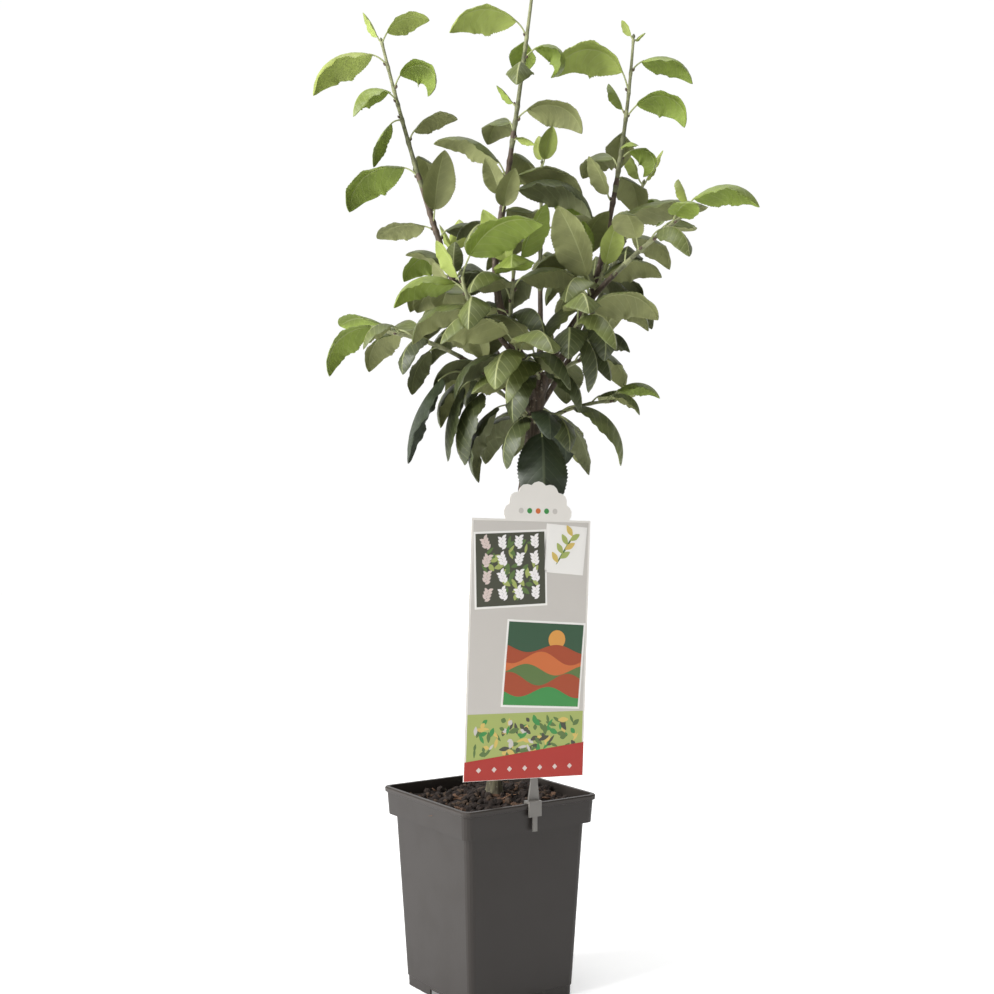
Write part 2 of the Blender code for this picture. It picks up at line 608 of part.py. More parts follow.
def make_limb(limb, grown, parts, cutters, resolution, finish, steps):
    """A limb, seated on its parent: end to end with it at its tip, or cut to its side, a gap away."""
    parent_path, parent_radii = grown[limb.parent]
    path = grow(point_at(parent_path, limb.at), limb.length * MM, limb.clock, limb.rise, steps)
    if limb.at == 1:
        end = (parent_path[-1] - parent_path[-2]).normalized()
        tilt = end.cross((path[1] - path[0]).normalized()).length
        path = [point + end * (GAP + limb.radius[0] * MM * tilt) for point in path]
    radii = [lerp(limb.radius, step / steps) * MM for step in range(steps + 1)]
    made = tube(limb.name, path, radii, resolution, parts, finish)
    if limb.at < 1:
        wide = [radius + GAP for radius in parent_radii]
        cutter = tube(f"{limb.name}_seat", parent_path, wide, 3, cutters, None, GAP)
        apply_cut(made, cutter)
        bpy.data.objects.remove(cutter)
    grown[limb.name] = path, radii
    return made


# Leaves


def half_width(share):
    """Half a blade's width at a share of its length, as a share of its greatest."""
    return (share**0.54 * (1 - share) ** 0.76) / (0.415**0.54 * 0.585**0.76)


def leaf_heading(leaf, share):
    """The way a leaf runs at a share of its blade, or under 0 at a share of its stalk."""
    stalk_rise, root_rise, tip_rise, _ = HABITS[leaf.habit]
    if share < 0:
        return heading(leaf.clock, leaf.lift + root_rise + (stalk_rise - root_rise) * -share)
    rise = root_rise + (tip_rise - root_rise) * share**BEND_POWER
    return heading(leaf.clock + leaf.sweep * share, leaf.lift + rise)


def leaf_line(leaf, stops):
    """Point, left, up and share at each stop along a stalk, from -1 to 0, and a blade, from 0 to 1."""
    point, places = leaf.root.copy(), []
    for before, stop in zip((-1, *stops), stops):
        for part in range(4):
            share = before + (stop - before) * (part + 0.5) / 4
            length = leaf.blade * (STALK_SHARE if share < 0 else 1)
            point = point + leaf_heading(leaf, share)[0] * length * (stop - before) / 4
        places.append((point, *leaf_heading(leaf, stop)[1:], stop))
    return places


def leaf_rings(leaf, grown_by=0.0):
    """Four-cornered sections of a stalk that opens into a folded blade."""
    blade, fold = leaf.blade, math.radians(HABITS[leaf.habit][3])
    rings = []
    for point, left, up, share in leaf_line(leaf, STALK_STEPS + BLADE_STEPS):
        if share < 0:
            half = STALK_RADIUS * (STALK_ROOT if share == -1 else 1)
            lift, under, over = 0, half, half
        else:
            half = max(half_width(share) * BLADE_WIDTH / 2 * blade, 0.9 * MM)
            lift = half * math.sin(fold)
            half *= math.cos(fold)
            thin = max(0.35, 1 - 0.6 * share)
            under, over = MIDRIB_UNDER * blade * thin, MIDRIB_OVER * blade * thin
        tilt = math.radians(leaf.roll) * min(1, 1 + share)
        left, up = (
            left * math.cos(tilt) + up * math.sin(tilt),
            up * math.cos(tilt) - left * math.sin(tilt),
        )
        rings.append([
            point + left * (half + grown_by) + up * lift,
            point - up * (under + grown_by),
            point - left * (half + grown_by) + up * lift,
            point + up * (over + grown_by),
        ])
    return rings


def leaf_mesh(rings):
    """A closed bmesh of a leaf whose upper and lower faces are split alike, so that they never cross."""
    mesh = bmesh.new()
    loops = [[mesh.verts.new(point) for point in ring] for ring in rings]
    for lower, upper in zip(loops, loops[1:]):
        for margin in (0, 2):
            for middle in (1, 3):
                mesh.faces.new((lower[margin], upper[middle], upper[margin]))
                mesh.faces.new((lower[margin], lower[middle], upper[middle]))
    for ring in (loops[0], loops[-1]):
        mesh.faces.new((ring[0], ring[1], ring[3]))
        mesh.faces.new(ring[1:])
    bmesh.ops.recalc_face_normals(mesh, faces=mesh.faces)
    return mesh


def space_of(leaf):
    """Trees of the space that a leaf takes up, without and with the start of its stalk."""
    rings = leaf_rings(leaf, grown_by=LEAF_SPACE)
    trees = []
    for part in (rings[1:], rings):
        mesh = leaf_mesh(part)
        trees.append(tree_of(mesh))
        mesh.free()
    return trees


def settle(root, row, chance, owner, taken):
    """A leaf turned and lifted until it is clear of all that is there, with its space, or None.

    The start of its stalk is inside the owner's stem, so it isn't tested against that mass.
    """
    _, hour, habit, blade = row
    sweep, roll = chance.uniform(-SWEEP, SWEEP), chance.uniform(-ROLL, ROLL)
    for turn, lift in TRIES:
        to_light = -LIGHT_TIP * heading(hour + turn, 0)[1].dot(LIGHT)
        leaf = Leaf(root, hour + turn, habit, blade * MM, sweep, roll + to_light, lift)
        space = space_of(leaf)
        parts = [(0 if name == owner else 1, other) for name, other in taken]
        if not any(meets(space[part], other[part]) for part, other in parts):
            return leaf, space
    return None


def union(target, pieces, group, name):
    """The target and the pieces as one solid under the name; the pieces and their collection go.

    The exact solver leaves slivers and doubled edges where thin stalks cross a stem, so this takes the other one.
    """
    for piece in pieces:
        for other in piece.users_collection:
            other.objects.unlink(piece)
        group.objects.link(piece)
    boolean(target, "UNION", group=group, solver="MANIFOLD")
    mesh = evaluated(target)
    target.modifiers.clear()
    mesh.to_mesh(target.data)
    mesh.free()
    target.data.name = name
    for piece in list(group.objects):
        bpy.data.objects.remove(piece)
    bpy.data.collections.remove(group)
    return target


def dress(limb, stem, grown, taken, parts, finish):
    """Fuses a shoot's leaves to its stem, from the tip down."""
    path = grown[limb.name][0]
    chance = random.Random(f"{SEED} {limb.name}")
    pieces = []
    for count, row in enumerate(limb.leaves):
        root = point_at(path, 1 - (TIP_SPACE + row[0]) / limb.length)
        found = settle(root, row, chance, limb.name, taken)
        if found is None:
            print(f"{limb.name}: no room for leaf {count}")
            continue
        pieces.append(add(f"{limb.name}_{count}", leaf_mesh(leaf_rings(found[0])), parts, finish))
        taken.append((limb.name, found[1]))
    return union(stem, pieces, collection(f"{limb.name}_pieces"), limb.name)


def tree_of_object(target):
    mesh = evaluated(target)
    tree = tree_of(mesh)
    mesh.free()
    return tree


def make():
    for left_over in list(bpy.data.objects):
        bpy.data.objects.remove(left_over)
    parts, cutters = collection("potted_dwarf_tree"), collection("cutters")
    grey = material("grey_plastic", (0.085, 0.078, 0.072), 0.42)
    compost = material("compost", (0.022, 0.014, 0.009), 0.95)
    bark = material("bark", (0.12, 0.085, 0.06), 0.8)
    green = material("leaf_green", (0.14, 0.19, 0.05), 0.55)
    board = material("card_print", (0.55, 0.52, 0.48), 0.35)
    clear = material("clip_plastic", (0.45, 0.45, 0.42), 0.3)

    solids = [make_pot(parts, cutters, grey), make_soil(parts, compost)]
    solids += [make_card(parts, board), make_clip(parts, clear)]
    trunk, path, radii = make_trunk(parts, bark)
    solids.append(trunk)
    grown = {"trunk": (path[1:], radii[1:])}
    for limb in BOUGHS:
        solids.append(make_limb(limb, grown, parts, cutters, 2, bark, 6))
    stems = [make_limb(limb, grown, parts, cutters, 0, green, 6) for limb in SHOOTS]
    bpy.context.view_layer.update()
    taken = [(solid.name, [tree_of_object(solid)] * 2) for solid in solids + stems]
    for limb, stem in zip(SHOOTS, stems):
        dress(limb, stem, grown, taken, parts, green)
    for solid in parts.objects:
        solid.data.shade_smooth()
        solid.data.set_sharp_from_angle(angle=math.radians(35))


make()
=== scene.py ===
"""Looks of a young dwarf apple tree on one stem, in a square nursery pot with a printed card on its rim.

Units are metres, +Z is up and -Y faces the viewer. The origin is in the middle of the pot's underside.
Directions seen from above are hours on a clock face: 12 is away from the viewer, 3 is to the right.
"""

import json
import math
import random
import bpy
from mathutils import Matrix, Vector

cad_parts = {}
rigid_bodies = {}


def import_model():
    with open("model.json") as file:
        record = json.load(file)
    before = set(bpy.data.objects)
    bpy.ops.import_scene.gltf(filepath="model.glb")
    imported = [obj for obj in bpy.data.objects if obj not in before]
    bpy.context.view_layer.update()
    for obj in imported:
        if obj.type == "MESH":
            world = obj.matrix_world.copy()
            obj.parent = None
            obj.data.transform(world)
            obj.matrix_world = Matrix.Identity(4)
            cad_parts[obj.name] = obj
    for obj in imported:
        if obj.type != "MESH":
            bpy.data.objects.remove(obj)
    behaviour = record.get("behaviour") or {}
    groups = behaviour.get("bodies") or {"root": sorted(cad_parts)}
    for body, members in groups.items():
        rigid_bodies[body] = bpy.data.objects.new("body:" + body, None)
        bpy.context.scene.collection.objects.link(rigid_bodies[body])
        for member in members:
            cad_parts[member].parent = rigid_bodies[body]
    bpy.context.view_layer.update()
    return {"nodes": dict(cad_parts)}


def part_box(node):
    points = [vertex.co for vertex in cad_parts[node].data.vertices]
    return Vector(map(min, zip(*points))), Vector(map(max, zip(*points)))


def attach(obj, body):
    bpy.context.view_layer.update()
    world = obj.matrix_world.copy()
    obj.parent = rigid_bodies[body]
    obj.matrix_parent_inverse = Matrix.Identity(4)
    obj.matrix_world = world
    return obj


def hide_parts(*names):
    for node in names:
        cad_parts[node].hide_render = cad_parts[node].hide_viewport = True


bl_info = {
    "name": "Potted Dwarf Tree",
    "version": (1, 0, 0),
    "blender": (4, 5, 0),
    "location": "View3D > Sidebar > Tree",
    "description": "Leaves, bark, compost, card print and finishes of a potted dwarf tree",
    "category": "Object",
}

from dataclasses import dataclass

import bmesh
import bpy
import numpy as np
from bpy.props import FloatProperty, FloatVectorProperty, IntProperty, PointerProperty
from mathutils import Matrix, Vector, noise
from mathutils.bvhtree import BVHTree

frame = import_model()

MM = 0.001
GAP = 0.3 * MM
WELD = 0.001 * MM
SEED = 23

# Pot
POT_TURN = math.radians(34)
WALL = 1.8 * MM
BAND_WIDTH = 147.5 * MM
LIP_PALER_TOP = (0.1925, 0.1985)  # heights between which the top of the lip grows paler

# Compost
COMPOST_HEIGHT = 183.5 * MM
COMPOST_OVERLAP = 0.4 * MM  # into the pot's wall
POT_SQUARENESS = 20
HEAP_REACH = 34 * MM
CORNER_HEAP = (45 * MM, 40 * MM, 5 * MM)  # in the rear right corner: its place and its rise
CORNER_REACH = 38 * MM
LUMPS = ((60, 2.6), (160, 1.4), (420, 0.7))  # pitch, and rise in mm
BED_SIDES = 160
BED_RINGS = 44
BED_HOLE = 0.04  # share of the bed's reach where its rings start
CHIP_REACH = 0.95  # share of the way to the pot's wall
CHIP_LUMPS = 0.38
CHIP_PITCH = 1.4

# Trunk
TRUNK_FOOT = Vector((5 * MM, 5 * MM, 190 * MM))
TRUNK_LENGTH = 416 * MM
TRUNK_CLOCK = (3.3, 3.3)
TRUNK_RISE = (86, 81)
TRUNK_RADIUS = 7.2 * MM
TRUNK_TAPER = 0.14
FORK_SWELL = 1.5 * MM
FORK_SWELL_REACH = 42 * MM
FLARE = 3.4 * MM
FLARE_REACH = 9 * MM
FLARE_RINGS = (0, 5 * MM, 12 * MM)
TRUNK_STEPS = 16
LIMB_STEPS = 6

# Bark: pitches are around a limb, and along it for each mm
TRUNK_DIP = 4 * MM  # below the compost
TRUNK_RINGS = 300
TRUNK_SIDES = 56
BOUGH_SIDES = 32
BOUGH_SPACING = 1.6 * MM
COLLAR = 0.42  # swelling of a bough's foot, share of its radius
COLLAR_MOST = 1.5
COLLAR_REACH = 6 * MM
RIB_PITCH = (2.4, 0.016)
CRACK_PITCH = (5.2, 0.055)
CRACK_SHARPNESS = 3.2
GRAIN = 0.12 * MM
GRAIN_PITCH = (9, 0.9)
FULL_RELIEF = 6 * MM  # radius from which relief has its full height
WART_SPACING = 26
WART_HALF = 0.55  # mm along the limb
WART_SIDE = 1.3 * MM
WART_RISE = 0.3 * MM
SCAR_HALF = 2.0  # mm along the limb
SCAR_RISE = 0.5 * MM
FADED = 3  # halves of a wart or a scar, past which it has no height
TIP_ROUNDING = (0.5, 0.8, 0.95)  # of a limb's tip: the radius of each ring comes from its share of the way
TIP_SPACING = 0.25  # share of a limb's last radius
TURNS_BROWN = (0.215, 0.275)  # heights between which the bark's colour changes
TURNS_RED = (0.50, 0.58)

# Card
CARD_TURN = math.radians(26)
CARD_TILT = math.radians(2)
CARD_MIDDLE = Vector((37 * MM, -64 * MM, 342 * MM))
CARD_WIDTH = 126 * MM
CARD_HEIGHT = 244 * MM
CARD_THICK = 1.0 * MM
TAB_SHIFT = 6 * MM
PRINT_MARGIN = 0.4  # mm of bare card beside the red band
OVAL_SIDES = 28
PICTURE_EDGE = 2  # mm of a picture's pale frame
PRINT_FOOT = 0.15  # share of a layer between the card and the print
LAYER = 0.12 * MM  # from one layer of the card's print to the next

# Leaves: sizes that aren't in MM are shares of a blade's length, and angles are in degrees
BLADE_WIDTH = 0.62
STALK_SHARE = 0.24
STALK_RADIUS = 0.95 * MM
STALK_ROOT = 0.6
TIP_SPACE = 1.6
MIDRIB_UNDER = 0.021
MIDRIB_OVER = 0.008
RIB_LEAST = 0.35  # share of its height that the midrib keeps
RIB_THINS = 0.6
NARROW_ROOT = 0.9 * MM  # least half width
NARROW_TIP = 0.2 * MM
SOURCE_OUTLINE = (0.54, 0.76, 0.415)  # slimness of the root and of the tip, widest place
BEND_POWER = 1.15
LINE_PARTS = 4  # straight parts of a leaf's line between two stops
BLADE_STEPS = (0.0, 0.12, 0.33, 0.58, 0.82, 1.0)
STALK_STEPS = (-1.0, -0.5)
HABITS = {  # rise of the stalk's foot, of the blade's root and of its tip, then the fold of each half
    "erect": (34, 72, 44, 30),
    "bow": (72, 58, -30, 32),
    "spread": (50, 28, -28, 30),
    "swan": (82, 66, -84, 36),
    "crest": (76, 42, -72, 38),
    "arch": (62, 16, -94, 40),
    "curl": (80, 56, -150, 36),
    "drape": (40, -2, -108, 26),
    "hang": (6, -44, -96, 24),
    "plumb": (-24, -66, -100, 22),
}
LIGHT = Vector((0, -1, 0))
LIGHT_TIP = 22
ROLL = 16
SWEEP = 0.7  # hours that a blade may turn on its way
LEAF_SPACE = 0.5 * MM
TRIES = (
    (0, 0), (0.4, 0), (-0.4, 0), (0, 12), (0, -12), (0.6, 10), (-0.6, 10), (0.7, -10), (-0.7, -10), (1.1, 0),
    (-1.1, 0), (0.4, 24), (-0.4, 24), (0.4, -24), (-0.4, -24), (1.6, 14), (-1.6, 14), (2.2, 0), (-2.2, 0),
    (0, 38), (0, -38), (1.4, 30), (-1.4, 30), (1.4, -30), (-1.4, -30), (2.6, 20), (-2.6, 20),
    (2.6, -18), (-2.6, -18),
)
FAN = (  # millimetres below the tip, hours to the side, habit and share of the largest blade
    (1, 0.3, "erect", 0.56), (4, -1.7, "bow", 0.80), (8, 1.7, "crest", 0.90), (12, -0.6, "arch", 1.0),
    (16, 2.6, "arch", 0.86), (20, -2.8, "drape", 0.84), (24, 0.9, "drape", 0.92),
)

# Finer leaves
FINE_OUTLINE = (0.53, 0.70, 0.431)
STATIONS = 52  # along a blade, two to a tooth of the margin
EVENNESS = 0.62  # 1 for stations that are evenly spaced
ACROSS = (0.0, 0.05, 0.2, 0.4, 0.6, 0.78, 0.93, 1.0)  # from the midrib to the margin
VEINS = 8  # side veins of a half
VEIN_CROWDING = 0.92
VEIN_SLANT = (0.75, 0.35)  # at the midrib, and how much more at the margin
LEAF_THICK = 0.0105
EDGE_ROUND = 0.07
RIB_RISE = 0.012  # of the midrib, out of the lower side
RIB_GROOVE = 0.003  # along the midrib, in the upper side
RIB_SHOULDER = 0.55
TOOTH_MIDDLE = 0.55
FOLD_ROOT = 1.08  # the fold at the root, share of the habit's
FOLD_OPENS = 0.3
FOLD_START = 0.9
FOLD_BEND = -0.25
WAVE_SHIFT = 0.18  # from one half of a blade to the other
RUFFLE_SHIFT = 0.3
BODY_POWER = 0.35  # how soon teeth, waves and bulges grow from the ends of a blade
BULGE_POWER = 0.8
SKEW = 0.05  # most that one half of a blade is wider than it should be
WAVES = (1.6, 3.4)  # along a blade
RUFFLES = (5, 8)
REACH_SLACK = 1 * MM
STALK_SIDES = 8
STALK_PARTS = 10
STALK_WAIST = 0.86
STALK_FOOT = 0.75  # swelling where it leaves the stem
STALK_FOOT_FADES = 7
STALK_START = 0.7
STALK_END = 0.55
STALK_IN_BLADE = 0.05

# Finer stems
STEM_SIDES = 12
STEM_SPACING = 2.5 * MM
STEM_SEAT = 5  # mm into the bough that it grows from
NODE_SWELLING = 0.28
NODE_REACH = 2.6 * MM
GREEN_LENGTH = 70  # mm from the tip
BROWN_LENGTH = 150
LENGTH_STRAY = 16
TIP_BUD = 5 * MM
BUD_SIZE = (3.2, 4.6)  # mm
BUD_SPACE = 6 * MM  # from the tip's bud to the next
BUD_SIDES = 8
BUD_LEAN = (0.86, 0.5)  # along the stem and out of it
BUD_SHAPE = ((0, 0.20), (0.25, 0.32), (0.5, 0.34), (0.75, 0.24), (0.93, 0.10), (1.0, 0.02))

# Finishes of leaves
TINT_LETTERS = "yfmds"  # of the classes below, in their order
# The dark and shade classes take little of the vein's colour, so their ribs stay dark with the painted shade
# of those leaves
PALE_RIBS = {"young": 0.5, "fresh": 0.5, "mature": 0.42, "dark": 0.28, "shade": 0.08}  # the vein's share
RIB_BRIGHTENS = 1.1  # what it has of the underside's colour
VEIN_LINE = (0.015, 0.085)  # where a side vein starts to fade and where it has gone
VEIN_FADE = 0.55  # towards the margin
VEIN_TINT = 0.45
VEIN_HEIGHT = 0.3 * MM
VEIN_STRENGTH = 0.3

# Stage
CAMERA_PLACE = (0.00803, -1.47781, 0.50087)
CAMERA_SHIFT = -0.01693
SENSOR = 36  # mm
KEY_PLACE = (-2.6, -1.4, 1.6)
KEY_AIM = (0, 0, 0.5)
KEY_SIZE = 1.6
TOP_PLACE = (0, 0, 6)
TOP_SIZE = 4.0
FLOOR_HALF = 6
FLOOR_GLOW = 0.30
BACKDROP_PLACE = 5


@dataclass
class Leaf:
    """A settled leaf: where its stalk starts, how it runs and how it is tipped."""

    root: Vector
    clock: float
    habit: str
    blade: float
    sweep: float
    roll: float
    lift: float


@dataclass
class Limb:
    """A bough, or the stem of a mass, that grows from its parent at a share of the parent's length."""

    name: str
    parent: str
    at: float
    length: float  # mm
    clock: tuple  # hours at its foot and at its tip
    rise: tuple  # degrees above level at its foot and at its tip
    radius: tuple  # mm at its foot and at its tip
    leaves: tuple = ()  # from the tip down: mm below the tip, hour, habit, blade length in mm
    tints: str = ""  # a letter for each leaf: y young, f fresh, m mature, d dark, s shade


def fan(hour, blade, count):
    """Leaves of a short shoot that faces an hour."""
    return tuple((down, hour + side, habit, blade * share) for down, side, habit, share in FAN[:count])


def spur(name, parent, at, length, hour, rise, face, blade, tints):
    """A short shoot that runs to an hour, with a fan of leaves that faces an hour, one for each letter."""
    return Limb(name, parent, at, length, (hour, hour), rise, (2.0, 1.4), fan(face, blade, len(tints)), tints)


BOUGHS = (
    Limb("bough_middle", "trunk", 0.985, 136, (8.6, 9.2), (48, 93), (5.2, 3.0)),
    Limb("bough_left", "trunk", 0.955, 176, (9.6, 9.4), (39, 73), (4.4, 2.8)),
    Limb("bough_right", "trunk", 0.967, 165, (2.6, 3.0), (52, 80), (4.4, 2.7)),
    Limb("bough_rear", "trunk", 0.958, 128, (12.2, 12.0), (42, 68), (3.6, 2.5)),
    Limb("bough_front_left", "trunk", 0.945, 100, (7.1, 7.7), (55, 34), (3.2, 2.4)),
    Limb("bough_low_right", "trunk", 0.935, 156, (4.9, 3.3), (66, 43), (3.5, 2.4)),
    Limb("bough_low_left", "trunk", 0.918, 96, (8.7, 8.9), (44, 30), (3.0, 2.2)),
    Limb("bough_rear_left", "trunk", 0.925, 104, (10.9, 10.6), (40, 50), (3.0, 2.2)),
    Limb("bough_rear_right", "trunk", 0.92, 124, (1.3, 1.9), (44, 60), (3.0, 2.2)),
)

SHOOTS = (
    Limb("leaves_left", "bough_left", 1, 230, (9.4, 9.8), (71, 75), (2.8, 1.5), (
        (0, 9, "erect", 30), (1, 3, "bow", 50), (27, 9, "arch", 86), (52, 3.2, "curl", 68),
        (67, 7.6, "arch", 66), (84, 8.6, "hang", 50), (108, 2.6, "bow", 52),
        (130, 12.6, "arch", 58), (148, 9, "arch", 86), (184, 1.6, "erect", 46), (194, 5.6, "erect", 62),
        (204, 9.4, "spread", 56), (214, 2.8, "crest", 52),
    ), "yyyfffmmfmmmd"),
    Limb("leaves_middle", "bough_middle", 1, 264, (9, 9), (99, 97), (3.0, 1.5), (
        (0, 2.6, "erect", 34), (2, 9, "erect", 26), (48, 9, "crest", 80), (56, 12, "arch", 56),
        (70, 3, "curl", 64), (88, 6, "arch", 56), (116, 9.6, "erect", 26), (132, 3.1, "crest", 70),
        (144, 11.4, "crest", 66), (150, 4, "spread", 24), (170, 0.8, "arch", 68), (188, 8.9, "bow", 76),
        (198, 3, "crest", 82), (210, 7.6, "erect", 38), (216, 3.7, "crest", 96), (222, 4.8, "erect", 42),
        (228, 1.2, "crest", 66), (240, 9.6, "crest", 46), (246, 7, "arch", 62),
    ), "yyyffmfmmymmmmdmmdm"),
    Limb("leaves_right", "bough_right", 1, 204, (3.0, 2.6), (78, 86), (2.7, 1.3), (
        (0, 9, "erect", 18), (2, 2, "erect", 16), (34, 2.9, "crest", 66), (54, 9, "swan", 90),
        (76, 10.6, "erect", 34), (80, 3.1, "swan", 72), (100, 12, "arch", 60), (112, 5.5, "spread", 30),
        (122, 3.5, "curl", 54), (132, 11, "crest", 66), (146, 1, "arch", 66), (164, 8, "erect", 42),
        (188, 3.1, "spread", 86), (192, 12.4, "arch", 62),
    ), "yyfyffmffmmmmd"),
    Limb("leaves_low_right", "bough_low_right", 1, 92, (3.3, 3.2), (44, 34), (2.4, 1.4), (
        (0, 11, "erect", 32), (8, 3, "crest", 76), (22, 5.5, "spread", 50),
        (34, 1, "spread", 62), (48, 4.8, "arch", 62), (62, 7, "bow", 56), (80, 12.4, "crest", 60),
    ), "yffmmmd"),
    Limb("leaves_rear_right", "bough_rear_right", 1, 156, (1.9, 3.0), (60, 74), (2.2, 1.3), (
        (0, 9, "erect", 30), (2, 2, "erect", 38), (30, 4, "curl", 54), (46, 12, "crest", 60),
        (66, 2, "arch", 66), (90, 10.8, "arch", 64), (112, 1, "crest", 72), (134, 12.6, "arch", 76),
        (140, 3, "arch", 66),
    ), "yyfmmmdmd"),
    Limb("leaves_front_left", "bough_front_left", 1, 56, (7.7, 8.4), (32, 84), (2.4, 1.5), (
        (0, 4.2, "bow", 88), (8, 9, "erect", 40), (20, 8.6, "crest", 76), (32, 9.8, "crest", 76),
        (36, 6.2, "arch", 66), (44, 8.4, "arch", 74),
    ), "fyfmmm"),
    Limb("leaves_low_left", "bough_low_left", 1, 74, (8.9, 9.1), (28, 8), (2.2, 1.4), (
        (0, 8.8, "drape", 74), (3, 10.2, "spread", 60), (12, 7.4, "arch", 52), (24, 9.4, "arch", 66),
        (36, 11, "crest", 64), (44, 7.2, "drape", 56), (54, 9, "hang", 48),
    ), "ffmmmdd"),
    Limb("leaves_rear_left", "bough_rear_left", 1, 110, (10.6, 10.2), (52, 74), (2.2, 1.3), (
        (0, 9.6, "erect", 30), (2, 12, "erect", 40), (20, 9.4, "crest", 66), (34, 1, "spread", 58),
        (48, 11.2, "arch", 72), (66, 8.6, "arch", 66), (82, 12.4, "crest", 70), (94, 10.2, "arch", 70),
    ), "yyfmmmdd"),
    Limb("leaves_rear", "bough_rear", 1, 150, (12.0, 12.4), (72, 84), (2.5, 1.3), (
        (0, 12, "erect", 34), (2, 5, "erect", 36), (24, 10, "crest", 62), (40, 1.6, "arch", 66),
        (58, 11.6, "arch", 70), (78, 3, "spread", 58), (94, 8.8, "arch", 64), (112, 12.6, "crest", 76),
        (124, 2.2, "arch", 70), (136, 10.6, "arch", 72),
    ), "yyffmmmmdd"),
    Limb("leaves_centre", "bough_middle", 0.42, 74, (6.0, 5.6), (36, 74), (2.4, 1.5), (
        (0, 4, "erect", 56), (3, 8, "erect", 54), (14, 5.6, "bow", 72), (24, 2.6, "crest", 72),
        (36, 7.6, "crest", 76), (48, 9.4, "spread", 60), (58, 4.8, "arch", 70),
    ), "fyfmmmd"),
    Limb("leaves_centre_right", "bough_right", 0.42, 70, (4.9, 4.4), (38, 72), (2.2, 1.4), (
        (0, 5, "erect", 44), (3, 2.6, "erect", 48), (18, 8, "erect", 74), (20, 3.6, "crest", 70),
        (30, 6.2, "crest", 70), (38, 3, "arch", 66), (50, 5, "drape", 60),
    ), "yfmmmmd"),
    spur("leaves_spur_left", "bough_left", 0.52, 34, 8.0, (50, 40), 8.0, 74, "mdmmdmd"),
    spur("leaves_spur_left_rear", "bough_left", 0.74, 32, 11.4, (50, 44), 11.4, 70, "mmdm"),
    spur("leaves_spur_right", "bough_right", 0.72, 30, 6.6, (46, 44), 6.4, 66, "fmmdmd"),
    spur("leaves_spur_right_rear", "bough_right", 0.55, 32, 0.6, (46, 44), 0.6, 72, "mmdm"),
    Limb("leaves_spur_front", "bough_front_left", 0.34, 40, (6.4, 6.4), (20, 30), (2.0, 1.4), (
        (0, 8, "crest", 96), (2, 4, "bow", 84), (10, 6.2, "drape", 70), (18, 9.4, "drape", 76),
        (24, 4.6, "arch", 74),
    ), "mmmdd"),
    Limb("leaves_spur_low_right", "bough_low_right", 0.42, 40, (5.0, 5.0), (34, 24), (2.0, 1.4), (
        (0, 3.2, "crest", 80), (2, 6.4, "crest", 72), (10, 4.8, "arch", 70), (18, 3.0, "drape", 64),
        (26, 7.4, "drape", 62),
    ), "mmmdd"),
    Limb("leaves_spur_centre", "trunk", 0.99, 36, (6.5, 6.0), (16, 30), (2.0, 1.4), (
        (0, 4.8, "bow", 76), (3, 7.4, "bow", 70), (10, 6.2, "arch", 72), (18, 4.4, "drape", 66),
        (24, 8, "drape", 64),
    ), "mmmdd"),
    spur("leaves_spur_low_left", "bough_low_left", 0.5, 30, 7.0, (34, 30), 6.8, 68, "mmdd"),
    spur("leaves_spur_rear_left", "bough_rear_left", 0.5, 32, 9.6, (36, 10), 10.2, 76, "mmdmdd"),
    spur("leaves_spur_rear_right", "bough_rear_right", 0.5, 32, 2.6, (36, 10), 2.2, 76, "mmdmdd"),
    Limb("leaves_skirt_left", "trunk", 0.895, 94, (8.2, 8.5), (50, 18), (2.3, 1.5), (
        (0, 8.6, "hang", 92), (18, 7.6, "hang", 76), (26, 9.8, "arch", 66), (44, 8.4, "drape", 84),
        (56, 6.6, "arch", 62), (66, 7.8, "drape", 88),
    ), "sdmdmd"),
    Limb("leaves_skirt_right", "trunk", 0.89, 84, (3.6, 3.2), (34, 2), (2.3, 1.4), (
        (0, 3, "crest", 50), (5, 4.2, "arch", 42), (20, 1.8, "spread", 48), (52, 4.2, "drape", 88),
        (58, 2.6, "hang", 60), (66, 5.2, "drape", 56),
    ), "fmmmdd"),
    Limb("leaves_skirt_front", "trunk", 0.9, 20, (5.6, 5.6), (16, 4), (2.3, 1.7), (
        (0, 5.6, "plumb", 84), (1, 3.8, "drape", 54), (2, 7.6, "drape", 66),
    ), "ssd"),
    Limb("leaves_skirt_rear", "trunk", 0.875, 52, (12.2, 12.0), (40, 14), (2.3, 1.4), (
        (0, 12, "arch", 82), (4, 10.4, "drape", 84), (12, 1.6, "drape", 78), (22, 11.4, "arch", 70),
        (30, 12.8, "drape", 68), (36, 9.6, "arch", 62),
    ), "mdmdsd"),
)


# Settings that a user may change


def colour(name, description, default):
    return FloatVectorProperty(
        name=name, description=description, default=default, subtype="COLOR", size=3, min=0, max=1
    )


def length(name, description, default):
    return FloatProperty(name=name, description=description, default=default, unit="LENGTH", min=0)


def portion(name, description, default):
    return FloatProperty(name=name, description=description, default=default, subtype="FACTOR", min=0, max=1)


